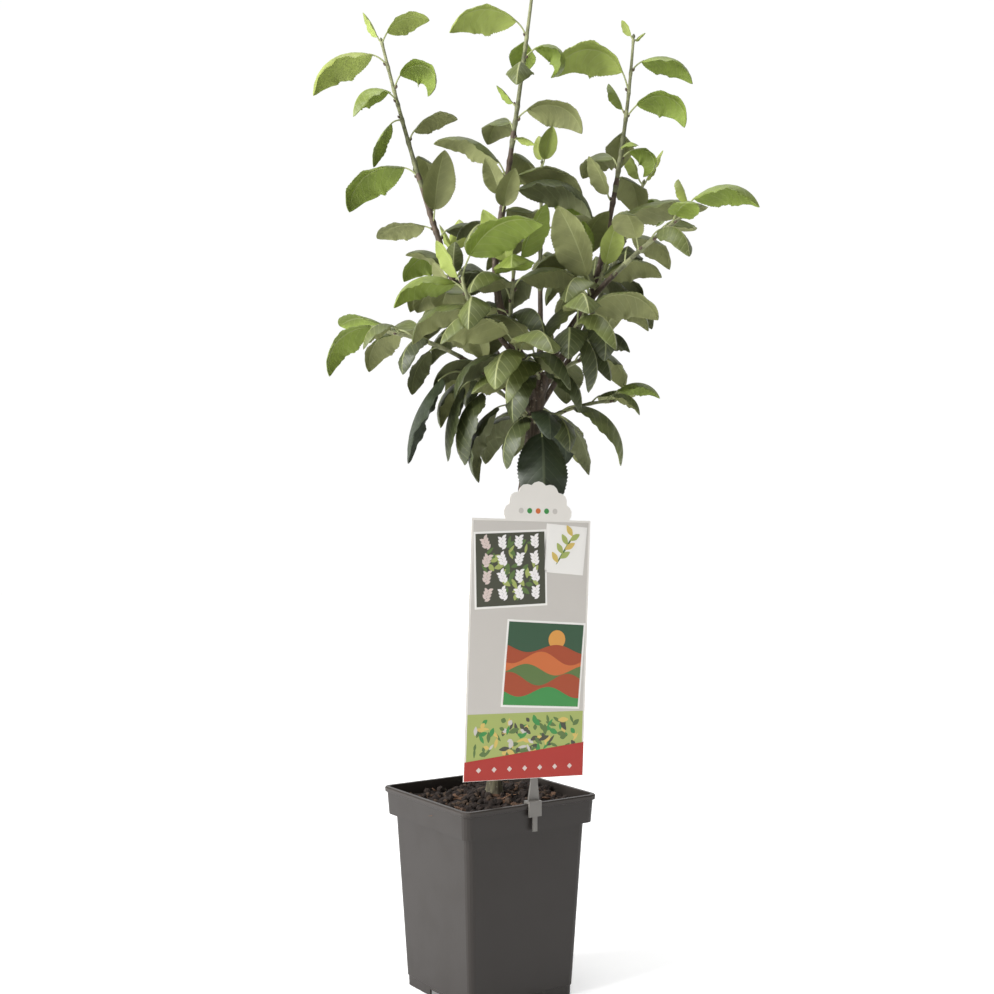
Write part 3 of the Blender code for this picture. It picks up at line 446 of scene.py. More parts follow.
class LeafSettings(bpy.types.PropertyGroup):
    """Colours and relief of the leaves."""

    young: colour("Young", "Upper side of leaves near a tip", (0.27, 0.32, 0.060))
    young_under: colour("Young, below", "Underside of leaves near a tip", (0.29, 0.35, 0.080))
    fresh: colour("Fresh", "Upper side of bright grown leaves", (0.17, 0.22, 0.036))
    fresh_under: colour("Fresh, below", "Underside of bright leaves, lit through", (0.20, 0.265, 0.040))
    mature: colour("Mature", "Upper side of most leaves", (0.105, 0.126, 0.034))
    mature_under: colour("Mature, below", "Woolly underside of most leaves", (0.235, 0.250, 0.098))
    # Dark: older leaves, made darker still as painted shade for leaves deep and low in the crown
    dark: colour("Dark", "Upper side of old leaves low in the crown", (0.048, 0.060, 0.019))
    dark_under: colour("Dark, below", "Underside of old leaves", (0.125, 0.138, 0.056))
    # Shade: painted shade, darker copies of the leaf colours for the unlit leaves of the skirt
    shade: colour("Shade", "Upper side of the darkest leaves of the skirt", (0.022, 0.032, 0.014))
    shade_under: colour("Shade, below", "Underside of the darkest leaves", (0.030, 0.042, 0.022))
    vein: colour("Vein", "Midrib and stalk", (0.34, 0.37, 0.17))
    pucker: portion("Pucker", "Bulge between side veins, share of length", 0.017)
    teeth: portion("Teeth", "Depth of the margin's teeth, share of half width", 0.05)
    wave: portion("Wave", "Rise and fall of the margin, share of half width", 0.06)
    ruffle: portion("Ruffle", "Short waves of the margin, share of half width", 0.026)


class BarkSettings(bpy.types.PropertyGroup):
    """Relief and colours of the wood."""

    rib: length("Rib", "Height of the ribs that run along the wood", 0.55 * MM)
    crack: length("Crack", "Depth of fine cracks", 0.28 * MM)
    foot: colour("Foot", "Greenish bark above the compost", (0.105, 0.095, 0.055))
    middle: colour("Middle", "Grey-brown bark of the trunk", (0.165, 0.130, 0.100))
    fork: colour("Fork", "Reddish bark of the fork and the boughs", (0.100, 0.070, 0.048))
    tip: colour("Tip", "Young wood of a shoot", (0.24, 0.25, 0.13))


class CompostSettings(bpy.types.PropertyGroup):
    """Compost in the pot."""

    chips: IntProperty(name="Chips", description="Loose pieces on the compost", default=620, min=0)
    heap: length("Heap", "Rise of the compost round the trunk", 7 * MM)
    dark: colour("Dark", "Most of the compost", (0.018, 0.011, 0.008))
    brown: colour("Brown", "Drier crumbs", (0.060, 0.038, 0.024))
    chip: colour("Chip", "Chips of bark", (0.105, 0.055, 0.030))


class FinishSettings(bpy.types.PropertyGroup):
    """Finishes of the pot, the card and its clip."""

    pot: colour("Pot", "Satin grey plastic", (0.024, 0.0195, 0.0165))
    card: colour("Card", "Unprinted card", (0.76, 0.73, 0.68))
    clip: colour("Clip", "Cloudy plastic", (0.17, 0.16, 0.145))


class StageSettings(bpy.types.PropertyGroup):
    """Floor, light and camera."""

    floor: colour("Floor", "Plain floor", (0.86, 0.86, 0.86))
    key: FloatProperty(name="Key", description="Power of the light on the left", default=140, unit="POWER")
    top: FloatProperty(name="Top", description="Power of the light from above", default=260, unit="POWER")
    around: FloatProperty(name="Surroundings", description="Strength of the light all round", default=0.27)
    lens: FloatProperty(name="Lens", description="Focal length of the camera", default=54.33, unit="CAMERA")


# Shader maths


class Value:
    """A socket of a material that can stand in a Python expression as a number."""

    def __init__(self, paint, socket):
        self.paint = paint
        self.socket = socket

    def maths(self, operation, first, second):
        return self.paint.node("ShaderNodeMath", {"operation": operation}, {0: first, 1: second})

    def __add__(self, other):
        return self.maths("ADD", self, other)

    __radd__ = __add__

    def __sub__(self, other):
        return self.maths("SUBTRACT", self, other)

    def __rsub__(self, other):
        return self.maths("SUBTRACT", other, self)

    def __mul__(self, other):
        return self.maths("MULTIPLY", self, other)

    __rmul__ = __mul__


class Paint:
    """A material under construction."""

    def __init__(self, name, roughness, **constants):
        self.material = bpy.data.materials.new(name)
        self.material.use_nodes = True
        self.tree = self.material.node_tree
        self.shader = self.tree.nodes["Principled BSDF"]
        self.set(self.shader, {"Roughness": roughness, **constants})

    def set(self, node, values):
        for key, value in values.items():
            if isinstance(value, Value):
                self.tree.links.new(value.socket, node.inputs[key])
            else:
                node.inputs[key].default_value = value

    def node(self, kind, settings=None, values=None, out=0):
        """Any node: its settings are set first, then the values or links of its sockets. Gives one output."""
        made = self.tree.nodes.new(kind)
        for key, value in (settings or {}).items():
            setattr(made, key, value)
        self.set(made, values or {})
        return Value(self, made.outputs[out])

    def place(self, scale=(1, 1, 1)):
        """Object coordinates, stretched."""
        where = self.node("ShaderNodeTexCoord", out="Object")
        return self.node("ShaderNodeVectorMath", {"operation": "MULTIPLY"}, {0: where, 1: scale})

    def noise(self, scale, detail=3, stretch=(1, 1, 1)):
        values = {"Scale": scale, "Detail": detail, "Vector": self.place(stretch)}
        return self.node("ShaderNodeTexNoise", values=values)

    def step(self, value, low, high):
        """Rises smoothly from 0 to 1 between two values."""
        values = {"Value": value, "From Min": low, "From Max": high}
        return self.node("ShaderNodeMapRange", {"interpolation_type": "SMOOTHSTEP"}, values)

    def mix(self, share, one, other):
        """A colour between two colours."""
        ends = [(*end, 1) if isinstance(end, tuple) else end for end in (one, other)]
        return self.node("ShaderNodeMix", {"data_type": "RGBA"}, {0: share, 6: ends[0], 7: ends[1]}, 2)

    def mottle(self, tint, spread, share):
        """A tint that strays to both sides as a share goes from 0 to 1."""
        return self.mix(share, scaled(tint, 1 - spread), scaled(tint, 1 + spread))

    def bump(self, height, distance, strength):
        values = {"Height": height, "Distance": distance, "Strength": strength}
        self.set(self.shader, {"Normal": self.node("ShaderNodeBump", values=values)})

    def colour(self, value):
        self.set(self.shader, {"Base Color": (*value, 1) if isinstance(value, tuple) else value})


def scaled(tint, share):
    return tuple(min(1.0, part * share) for part in tint)


def leaf_finish(name, tint, vein, roughness, spread, raised):
    """A leaf's side: blotched, with paler side veins. raised is -1 where veins are sunk."""
    paint = Paint(name, roughness)
    base = paint.mottle(tint, spread, paint.step(paint.noise(48, detail=4), 0.32, 0.68))
    place = paint.node("ShaderNodeAttribute", {"attribute_name": "vein"}, out="Vector")
    phase = paint.node("ShaderNodeSeparateXYZ", values={0: place})
    from_midrib = paint.node("ShaderNodeSeparateXYZ", values={0: place}, out=1)
    from_vein = paint.node("ShaderNodeMath", {"operation": "PINGPONG"}, {0: phase, 1: 0.5})
    line = 1 - paint.step(from_vein, *VEIN_LINE)
    line = line * (1 - from_midrib * from_midrib * VEIN_FADE)
    paint.colour(paint.mix(line * VEIN_TINT, base, tuple(vein)))
    paint.bump(line * raised, VEIN_HEIGHT, VEIN_STRENGTH)
    return paint.material


def plain(name, tint, roughness, **constants):
    paint = Paint(name, roughness, **constants)
    paint.colour(tuple(tint))
    return paint.material


def mottled(name, tint, roughness, scale, spread):
    """A finish whose colour strays a little from place to place."""
    paint = Paint(name, roughness)
    paint.colour(paint.mottle(tint, spread, paint.step(paint.noise(scale), 0.34, 0.66)))
    return paint.material


# Meshes


def add(name, points, faces, finishes, choices=None, smooth=True, veins=None):
    """A mesh object. veins gives each point its place between side veins and its distance from the midrib."""
    mesh = bpy.data.meshes.new(name)
    mesh.from_pydata([tuple(point) for point in points], [], faces)
    for finish in finishes:
        mesh.materials.append(finish)
    if choices is not None:
        mesh.polygons.foreach_set("material_index", np.asarray(choices, dtype=np.int32))
    if veins is not None:
        layer = mesh.attributes.new("vein", "FLOAT_VECTOR", "POINT")
        layer.data.foreach_set("vector", np.asarray(veins, dtype=np.float32).ravel())
    if smooth:
        mesh.shade_smooth()
    mesh.update()
    made = bpy.data.objects.new(name, mesh)
    bpy.context.scene.collection.objects.link(made)
    return made


def belong(piece, slot, *nodes):
    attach(piece, "root")
    if nodes:
        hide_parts(*nodes)


class Pile:
    """Points and faces of many like pieces that become one mesh."""

    def __init__(self):
        self.points, self.faces, self.choices = [], [], []

    def put(self, points, faces, choices):
        """Adds a piece. choices is a material's number, or one for each face."""
        start = len(self.points)
        self.points.extend(points)
        self.faces.extend(tuple(start + corner for corner in face) for face in faces)
        self.choices.extend([choices] * len(faces) if isinstance(choices, int) else choices)

    def add(self, name, finishes, smooth=True, veins=None):
        return add(name, self.points, self.faces, finishes, self.choices, smooth, veins)


def grid_faces(rows, columns, closed=False):
    """Faces of a sheet of points, row by row. closed joins the last column to the first."""
    faces = []
    for row in range(rows - 1):
        for column in range(columns if closed else columns - 1):
            beside = (column + 1) % columns
            below, above = row * columns, (row + 1) * columns
            faces.append((below + column, below + beside, above + beside, above + column))
    return faces


def tube(path, radii, sides, rough=None):
    """Points and faces of a round limb with closed ends. rough gives a rise at a ring and an angle."""
    points = []
    side = None
    for ring, (point, radius) in enumerate(zip(path, radii)):
        before, after = path[max(0, ring - 1)], path[min(len(path) - 1, ring + 1)]
        along = (after - before).normalized()
        side = side or Vector((1, 0, 0))
        side = (side - along * side.dot(along)).normalized()
        other = along.cross(side)
        for step in range(sides):
            angle = 2 * math.pi * step / sides
            out = side * math.cos(angle) + other * math.sin(angle)
            points.append(point + out * (radius + (rough(ring, angle) if rough else 0)))
    faces = grid_faces(len(path), sides, closed=True)
    last = (len(path) - 1) * sides
    faces.append(tuple(reversed(range(sides))))
    faces.append(tuple(range(last, last + sides)))
    return points, faces


# The source's rule for limbs and leaves, written again


def lerp(pair, share):
    return pair[0] + (pair[1] - pair[0]) * share


def heading(clock, rise):
    """Unit vectors along a limb, to its left and out of its upper side."""
    turn, lift = math.radians(30 * clock), math.radians(rise)
    level = Vector((math.sin(turn), math.cos(turn), 0))
    along = level * math.cos(lift) + Vector((0, 0, math.sin(lift)))
    left = Vector((-math.cos(turn), math.sin(turn), 0))
    return along, left, along.cross(left) * -1


def grow(foot, reach, clock, rise, steps):
    """Points along a limb whose heading changes evenly from its foot to its tip."""
    points = [foot.copy()]
    for step in range(steps):
        share = (step + 0.5) / steps
        along = heading(lerp(clock, share), lerp(rise, share))[0]
        points.append(points[-1] + along * reach / steps)
    return points


def point_at(path, share):
    """The value at a share of a list of points, or of numbers, that are evenly spaced."""
    place = share * (len(path) - 1)
    step = min(int(place), len(path) - 2)
    return path[step] + (path[step + 1] - path[step]) * (place - step)


def tree_of(mesh):
    """What a later leaf is tested against: the bmesh's faces and its box."""
    low = Vector(min(vert.co[axis] for vert in mesh.verts) for axis in range(3))
    high = Vector(max(vert.co[axis] for vert in mesh.verts) for axis in range(3))
    return BVHTree.FromBMesh(mesh), low, high


def meets(one, other):
    apart = any(one[2][i] < other[1][i] or other[2][i] < one[1][i] for i in range(3))
    return not apart and bool(one[0].overlap(other[0]))


def tree_of_node(name):
    mesh = bmesh.new()
    mesh.from_mesh(frame["nodes"][name].data)
    tree = tree_of(mesh)
    mesh.free()
    return tree


def tree_of_stem(path, radii):
    """A four-sided tapering limb, as the source makes it."""
    curve = bpy.data.curves.new("stem_guide", "CURVE")
    curve.dimensions = "3D"
    curve.bevel_depth = 1 * MM
    curve.bevel_resolution = 0
    curve.use_fill_caps = True
    line = curve.splines.new("POLY")
    line.points.add(len(path) - 1)
    for spot, point, radius in zip(line.points, path, radii):
        spot.co = (*point, 1)
        spot.radius = radius / MM
    guide = bpy.data.objects.new("stem_guide", curve)
    bpy.context.scene.collection.objects.link(guide)
    bpy.context.view_layer.update()
    graph = bpy.context.evaluated_depsgraph_get()
    data = bpy.data.meshes.new_from_object(guide.evaluated_get(graph))
    mesh = bmesh.new()
    mesh.from_mesh(data)
    bmesh.ops.remove_doubles(mesh, verts=mesh.verts, dist=WELD)
    bmesh.ops.triangulate(mesh, faces=mesh.faces)
    tree = tree_of(mesh)
    mesh.free()
    bpy.data.meshes.remove(data)
    bpy.data.objects.remove(guide)
    bpy.data.curves.remove(curve)
    return tree


def trunk_radius(height):
    """Radius at a height above the cut: a root flare, a slight taper and a swelling under the fork."""
    flare = FLARE * math.exp(-height / FLARE_REACH)
    taper = 1 - TRUNK_TAPER * height / TRUNK_LENGTH
    swelling = FORK_SWELL * math.exp(-(((height - TRUNK_LENGTH) / FORK_SWELL_REACH) ** 2))
    return TRUNK_RADIUS * taper + flare + swelling


def grow_all():
    """Paths and radii of the trunk, the boughs and the stems, as the source grows them."""
    path = grow(TRUNK_FOOT, TRUNK_LENGTH, TRUNK_CLOCK, TRUNK_RISE, TRUNK_STEPS)
    start = heading(TRUNK_CLOCK[0], TRUNK_RISE[0])[0]
    points = [TRUNK_FOOT + start * reach for reach in FLARE_RINGS] + path[1:]
    grown = {"trunk": (points, [trunk_radius((point - TRUNK_FOOT).length) for point in points])}
    for limb in BOUGHS + SHOOTS:
        parent_path = grown[limb.parent][0]
        path = grow(point_at(parent_path, limb.at), limb.length * MM, limb.clock, limb.rise, LIMB_STEPS)
        if limb.at == 1:
            end = (parent_path[-1] - parent_path[-2]).normalized()
            tilt = end.cross((path[1] - path[0]).normalized()).length
            path = [point + end * (GAP + limb.radius[0] * MM * tilt) for point in path]
        grown[limb.name] = path, [lerp(limb.radius, step / LIMB_STEPS) * MM for step in range(LIMB_STEPS + 1)]
    return grown


def blade_outline(share, root, tip, widest):
    """Half a blade's width at a share of its length, as a share of its greatest."""
    return (share**root * (1 - share) ** tip) / (widest**root * (1 - widest) ** tip)


def leaf_heading(leaf, share):
    """The way a leaf runs at a share of its blade, or under 0 at a share of its stalk."""
    stalk_rise, root_rise, tip_rise, _ = HABITS[leaf.habit]
    if share < 0:
        return heading(leaf.clock, leaf.lift + root_rise + (stalk_rise - root_rise) * -share)
    rise = root_rise + (tip_rise - root_rise) * share**BEND_POWER
    return heading(leaf.clock + leaf.sweep * share, leaf.lift + rise)


def leaf_line(leaf, stops):
    """Point, left, up and share at each stop along a stalk, from -1 to 0, and a blade, from 0 to 1."""
    point, places = leaf.root.copy(), []
    for before, stop in zip((-1, *stops), stops):
        for part in range(LINE_PARTS):
            share = before + (stop - before) * (part + 0.5) / LINE_PARTS
            reach = leaf.blade * (STALK_SHARE if share < 0 else 1)
            point = point + leaf_heading(leaf, share)[0] * reach * (stop - before) / LINE_PARTS
        places.append((point, *leaf_heading(leaf, stop)[1:], stop))
    return places


def tilted(leaf, left, up, share):
    """A leaf's left and up after its roll, which grows along the stalk."""
    tilt = math.radians(leaf.roll) * min(1, 1 + share)
    return (
        left * math.cos(tilt) + up * math.sin(tilt),
        up * math.cos(tilt) - left * math.sin(tilt),
    )


def leaf_rings(leaf, grown_by=0.0):
    """Four-cornered sections of a stalk that opens into a folded blade."""
    blade, fold = leaf.blade, math.radians(HABITS[leaf.habit][3])
    rings = []
    for point, left, up, share in leaf_line(leaf, STALK_STEPS + BLADE_STEPS):
        if share < 0:
            half = STALK_RADIUS * (STALK_ROOT if share == -1 else 1)
            lift, under, over = 0, half, half
        else:
            half = max(blade_outline(share, *SOURCE_OUTLINE) * BLADE_WIDTH / 2 * blade, NARROW_ROOT)
            lift = half * math.sin(fold)
            half *= math.cos(fold)
            thin = max(RIB_LEAST, 1 - RIB_THINS * share)
            under, over = MIDRIB_UNDER * blade * thin, MIDRIB_OVER * blade * thin
        left, up = tilted(leaf, left, up, share)
        rings.append([
            point + left * (half + grown_by) + up * lift,
            point - up * (under + grown_by),
            point - left * (half + grown_by) + up * lift,
            point + up * (over + grown_by),
        ])
    return rings


def leaf_mesh(rings):
    mesh = bmesh.new()
    loops = [[mesh.verts.new(point) for point in ring] for ring in rings]
    for lower, upper in zip(loops, loops[1:]):
        for margin in (0, 2):
            for middle in (1, 3):
                mesh.faces.new((lower[margin], upper[middle], upper[margin]))
                mesh.faces.new((lower[margin], lower[middle], upper[middle]))
    for ring in (loops[0], loops[-1]):
        mesh.faces.new((ring[0], ring[1], ring[3]))
        mesh.faces.new(ring[1:])
    return mesh


def space_of(leaf):
    """Trees of the space that a leaf takes up, without and with the start of its stalk."""
    rings = leaf_rings(leaf, grown_by=LEAF_SPACE)
    trees = []
    for part in (rings[1:], rings):
        mesh = leaf_mesh(part)
        trees.append(tree_of(mesh))
        mesh.free()
    return trees


def settle(root, row, chance, owner, taken):
    """A leaf turned and lifted until it is clear of all that is there, with its space, or None."""
    _, hour, habit, blade = row
    sweep, roll = chance.uniform(-SWEEP, SWEEP), chance.uniform(-ROLL, ROLL)
    for turn, lift in TRIES:
        to_light = -LIGHT_TIP * heading(hour + turn, 0)[1].dot(LIGHT)
        leaf = Leaf(root, hour + turn, habit, blade * MM, sweep, roll + to_light, lift)
        space = space_of(leaf)
        parts = [(0 if name == owner else 1, other) for name, other in taken]
        if not any(meets(space[part], other[part]) for part, other in parts):
            return leaf, space
    return None


def settle_all(grown):
    """The leaves of each mass with the number of each leaf in its table."""
    taken = []
    for name in ("pot", "soil", "label_card", "label_clip", "trunk", *(limb.name for limb in BOUGHS)):
        taken.append((name, [tree_of_node(name)] * 2))
    for limb in SHOOTS:
        taken.append((limb.name, [tree_of_stem(*grown[limb.name])] * 2))
    leaves = {}
    for limb in SHOOTS:
        path = grown[limb.name][0]
        chance = random.Random(f"{SEED} {limb.name}")
        leaves[limb.name] = []
        for count, row in enumerate(limb.leaves):
            root = point_at(path, 1 - (TIP_SPACE + row[0]) / limb.length)
            found = settle(root, row, chance, limb.name, taken)
            if found:
                leaves[limb.name].append((count, found[0]))
                taken.append((limb.name, found[1]))
        check_reach(limb.name, [leaf for _, leaf in leaves[limb.name]])
    return leaves


def check_reach(name, leaves):
    """Stops if the leaves reach outside the box of the source's mass."""
    points = [point for leaf in leaves for ring in leaf_rings(leaf)[1:] for point in ring]
    low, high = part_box(name)
    for axis in range(3):
        ends = min(point[axis] for point in points), max(point[axis] for point in points)
        if ends[0] < low[axis] - REACH_SLACK or ends[1] > high[axis] + REACH_SLACK:
            raise RuntimeError(f"{name}: leaves outside the source's mass on axis {axis}: {ends}")


# Leaves in detail


def blade_stops():
    """Shares along a blade, closer together at its root and its tip."""
    shares = [step / STATIONS for step in range(STATIONS + 1)]
    return [EVENNESS * share + (1 - EVENNESS) / 2 * (1 - math.cos(math.pi * share)) for share in shares]


STOPS = blade_stops()
COLUMNS = np.array([-u for u in reversed(ACROSS[1:])] + list(ACROSS))


def blade_points(leaf, look, settings):
    """Points of a blade's lower and upper side, and each point's place among its veins.

    The halves hang from the midrib like a roof, towards the vector that the source names up.
    They are toothed, waved and puckered.
    """
    places = []
    for point, left, up, share in leaf_line(leaf, STOPS):
        places.append((point, *tilted(leaf, left, up, share)))
    point, left, up = (np.array([[*place[part]] for place in places])[:, None, :] for part in range(3))
    s = np.array(STOPS)[:, None]
    u = COLUMNS[None, :]
    side, away = np.sign(u), np.abs(u)
    blade = leaf.blade
    width = np.array([blade_outline(share, *FINE_OUTLINE) for share in STOPS])[:, None]
    width = width * BLADE_WIDTH / 2 * blade
    width = np.maximum(width, np.where(s < 0.5, NARROW_ROOT, NARROW_TIP)) * (1 + look["skew"] * side)
    odd = (np.arange(STATIONS + 1) % 2)[:, None]
    body = np.sin(math.pi * np.clip(s, 0, 1)) ** BODY_POWER
    teeth = settings.teeth * body * np.where(away == 1, odd - TOOTH_MIDDLE, 0)
    fold = math.radians(HABITS[leaf.habit][3]) * (FOLD_ROOT - FOLD_OPENS * s)
    start, bend = FOLD_START * fold, FOLD_BEND * fold
    reach = (np.sin(start) - np.sin(start - bend * away)) / bend
    rise = (np.cos(start - bend * away) - np.cos(start)) / bend
    waves = look["waves"] * s + look["phase"] + WAVE_SHIFT * side
    ruffles = look["ruffles"] * s + 3 * look["phase"] + RUFFLE_SHIFT * side
    wave = settings.wave * away**2 * np.sin(2 * math.pi * waves)
    wave += settings.ruffle * away**4 * np.sin(2 * math.pi * ruffles)
    slant = VEIN_SLANT[0] + VEIN_SLANT[1] * away
    phase = VEINS * (s**VEIN_CROWDING - away * width / blade * slant) + look["phase"]
    bulge = np.abs(np.sin(math.pi * phase)) ** BULGE_POWER - 0.5
    pucker = settings.pucker * blade * bulge * np.sin(math.pi * away**BULGE_POWER) * body
    lateral = side * width * (reach + teeth)
    height = width * (rise + wave * body) - pucker
    along = np.cross(left, up)
    forward = 0.5 * blade / STATIONS * np.where(away == 1, odd, 0) * body
    middle = point + left * lateral[..., None] + up * height[..., None] + along * forward[..., None]
    slope = start - bend * away
    normal = up * np.cos(slope)[..., None] - left * (side * np.sin(slope))[..., None]
    thick = LEAF_THICK * blade * np.clip((1 - away) / EDGE_ROUND, 0, 1) ** 0.5
    thin = np.maximum(RIB_LEAST, 1 - RIB_THINS * s)
    rib = np.where(away == 0, 1.0, np.where(away <= ACROSS[1], RIB_SHOULDER, 0)) * thin * blade
    lower = thick / 2 + rib * RIB_RISE
    upper = thick / 2 - rib * RIB_GROOVE
    veins = np.stack([phase, away + 0 * phase, 0 * phase], axis=-1)
    return middle + normal * lower[..., None], middle - normal * upper[..., None], veins


def put_blade(pile, leaf, look, settings, tint):
    """Adds a blade and gives its veins. A tint has three finishes: upper side, underside and midrib."""
    lower, upper, veins = blade_points(leaf, look, settings)
    rows, columns = upper.shape[:2]
    outward = grid_faces(rows, columns)
    inward = [tuple(reversed(face)) for face in outward]
    midrib = len(ACROSS) - 1
    for points, faces, finish in ((lower, outward, 1), (upper, inward, 0)):
        choices = []
        for number in range(len(faces)):
            column = number % (columns - 1)
            choices.append(tint * 3 + (2 if column in (midrib - 1, midrib) else finish))
        pile.put(points.reshape(-1, 3).tolist(), faces, choices)
    return [veins, veins]


def put_stalk(pile, leaf, choice):
    """Adds a leaf's stalk, thicker where it leaves the stem."""
    shares = [-1 + step / STALK_PARTS for step in range(STALK_PARTS + 1)]
    places = leaf_line(leaf, shares)
    path = [place[0] for place in places]
    ahead = (path[-1] - path[-2]).normalized()
    path.append(path[-1] + ahead * STALK_IN_BLADE * leaf.blade)
    foot = [STALK_FOOT * math.exp(-(share + 1) * STALK_FOOT_FADES) for share in shares]
    radii = [STALK_RADIUS * (STALK_WAIST + swelling) for swelling in foot]
    radii[0] *= STALK_START
    radii.append(STALK_RADIUS * STALK_END)
    pile.put(*tube(path, radii, STALK_SIDES), choice)


def put_bud(pile, root, along, out, size, choice):
    """Adds a pointed bud that leans against its stem."""
    lean = (along * BUD_LEAN[0] + out * BUD_LEAN[1]).normalized()
    path = [root + lean * size * up for up, _ in BUD_SHAPE]
    radii = [size * half for _, half in BUD_SHAPE]
    pile.put(*tube(path, radii, BUD_SIDES), choice)


def smooth_path(path, spacing):
    """Points about a spacing apart on a smooth line through the path's points."""
    ends = [path[0] * 2 - path[1], *path, path[-1] * 2 - path[-2]]
    line = []
    for step in range(len(path) - 1):
        before, start, stop, after = ends[step:step + 4]
        count = max(1, round((stop - start).length / spacing))
        for part in range(count):
            t = part / count
            line.append(0.5 * (
                2 * start + (stop - before) * t + (2 * before - 5 * start + 4 * stop - after) * t**2
                + (3 * start - before - 3 * stop + after) * t**3
            ))
    return line + [path[-1].copy()]


def put_stem(pile, limb, path, leaves, chance):
    """Adds a shoot's stem with a swelling at each leaf, and a bud in each leaf's axil."""
    line = smooth_path(path, STEM_SPACING)
    if limb.at == 1:
        line.insert(0, line[0] + (line[0] - line[1]).normalized() * STEM_SEAT * MM)
    count = len(line) - 1
    roots = [leaf.root for _, leaf in leaves]
    radii = []
    for step, point in enumerate(line):
        near = min(((point - root).length for root in roots), default=1)
        swelling = 1 + NODE_SWELLING * math.exp(-((near / NODE_REACH) ** 2))
        radii.append(lerp(limb.radius, step / count) * MM * swelling)
    radii[-1] *= 0.5
    points, faces = tube(line, radii, STEM_SIDES)
    choices = []
    for number in range(len(faces)):
        ring = min(number // STEM_SIDES, count)
        below = limb.length * (1 - ring / count) + LENGTH_STRAY * math.sin(0.8 * ring)
        choices.append(0 if below < GREEN_LENGTH else 1 if below < BROWN_LENGTH else 2)
    pile.put(points, faces, choices)
    tip = (line[-1] - line[-2]).normalized()
    put_bud(pile, line[-1] - tip * MM, tip, Vector((0, 0, 0)), TIP_BUD, 1)
    for _, leaf in leaves:
        if (leaf.root - line[-1]).length < BUD_SPACE:
            continue
        out = heading(leaf.clock, 0)[0]
        step = min(range(count), key=lambda k: (line[k] - leaf.root).length)
        along = (line[step + 1] - line[step]).normalized()
        spot = leaf.root + out * radii[step] * 0.8 + along * (2.0 * MM)
        put_bud(pile, spot, along, out, chance.uniform(*BUD_SIZE) * MM, 2)


class TREE_OT_foliage(bpy.types.Operator):
    """Grow the shoots again by the source's rule, with fine leaves, stems and buds"""

    bl_idname = "tree.foliage"
    bl_label = "Foliage"

    def execute(self, context):
        settings = context.scene.tree_leaf
        wood = context.scene.tree_bark
        grown = grow_all()
        leaves = settle_all(grown)
        finishes = []
        for name, pale in PALE_RIBS.items():
            tint, under = getattr(settings, name), getattr(settings, f"{name}_under")
            bright = (1 - pale) * RIB_BRIGHTENS
            rib = tuple(pale * own + bright * part for own, part in zip(settings.vein, under))
            finishes += [
                leaf_finish(f"leaf_{name}", tint, rib, roughness=0.48, spread=0.20, raised=-1),
                leaf_finish(f"leaf_{name}_under", under, rib, roughness=0.72, spread=0.14, raised=1),
                plain(f"leaf_{name}_rib", rib, 0.55),
            ]
        stems = [
            mottled("stem_young", wood.tip, 0.75, 180, 0.22),
            mottled("stem_green", scaled(wood.tip, 0.62), 0.75, 180, 0.25),
            mottled("stem_brown", scaled(wood.fork, 0.95), 0.7, 160, 0.3),
            plain("leaf_stalk", settings.vein, 0.6),
        ]
        for limb in SHOOTS:
            chance = random.Random(f"{limb.name} detail")
            blades, twigs, veins = Pile(), Pile(), []
            for count, leaf in leaves[limb.name]:
                look = {
                    "skew": chance.uniform(-SKEW, SKEW), "waves": chance.uniform(*WAVES),
                    "ruffles": chance.uniform(*RUFFLES), "phase": chance.random(),
                }
                veins += put_blade(blades, leaf, look, settings, TINT_LETTERS.index(limb.tints[count]))
                put_stalk(twigs, leaf, 3)
            put_stem(twigs, limb, grown[limb.name][0], leaves[limb.name], chance)
            belong(blades.add(f"{limb.name}_blades", finishes, veins=veins), "leaf_green", limb.name)
            belong(twigs.add(f"{limb.name}_stems", stems), "leaf_green", limb.name)
        return {"FINISHED"}


# Wood


def bark_rise(chance, length_mm, radius, settings):
    """A function of place and angle that gives the bark's rise: ribs, cracks, lenticels and leaf scars."""
    shift = Vector((chance.uniform(0, 50), chance.uniform(0, 50), chance.uniform(0, 50)))
    warts = []
    for _ in range(int(length_mm * radius / MM / WART_SPACING)):
        warts.append((chance.uniform(0, length_mm), chance.uniform(0, 2 * math.pi), chance.uniform(0.5, 1.0)))
    scars, place = [], chance.uniform(8, 24)
    while place < length_mm:
        scars.append((place, chance.uniform(0, 2 * math.pi)))
        place += chance.uniform(22, 38)

    def ripple(pitch, angle, along_mm):
        around, along = pitch
        place = math.cos(angle) * around, math.sin(angle) * around, along_mm * along
        return noise.noise(shift + Vector(place))

    def rise(along_mm, angle, girth):
        height = settings.rib * ripple(RIB_PITCH, angle, along_mm)
        height -= settings.crack * max(0, 1 - abs(ripple(CRACK_PITCH, angle, along_mm)) * CRACK_SHARPNESS)
        height += GRAIN * ripple(GRAIN_PITCH, angle, along_mm)
        for spot, turn, strength in warts:
            up = (along_mm - spot) / WART_HALF
            if abs(up) < FADED:
                beside = (abs((angle - turn + math.pi) % (2 * math.pi) - math.pi)) * girth / WART_SIDE
                height += WART_RISE * strength * math.exp(-up * up - beside * beside)
        for spot, turn in scars:
            up = (along_mm - spot) / SCAR_HALF
            if abs(up) < FADED:
                height += SCAR_RISE * math.exp(-up * up) * (0.5 + 0.5 * math.cos(angle - turn)) ** 2
        return height * min(1.0, girth / FULL_RELIEF)

    return rise


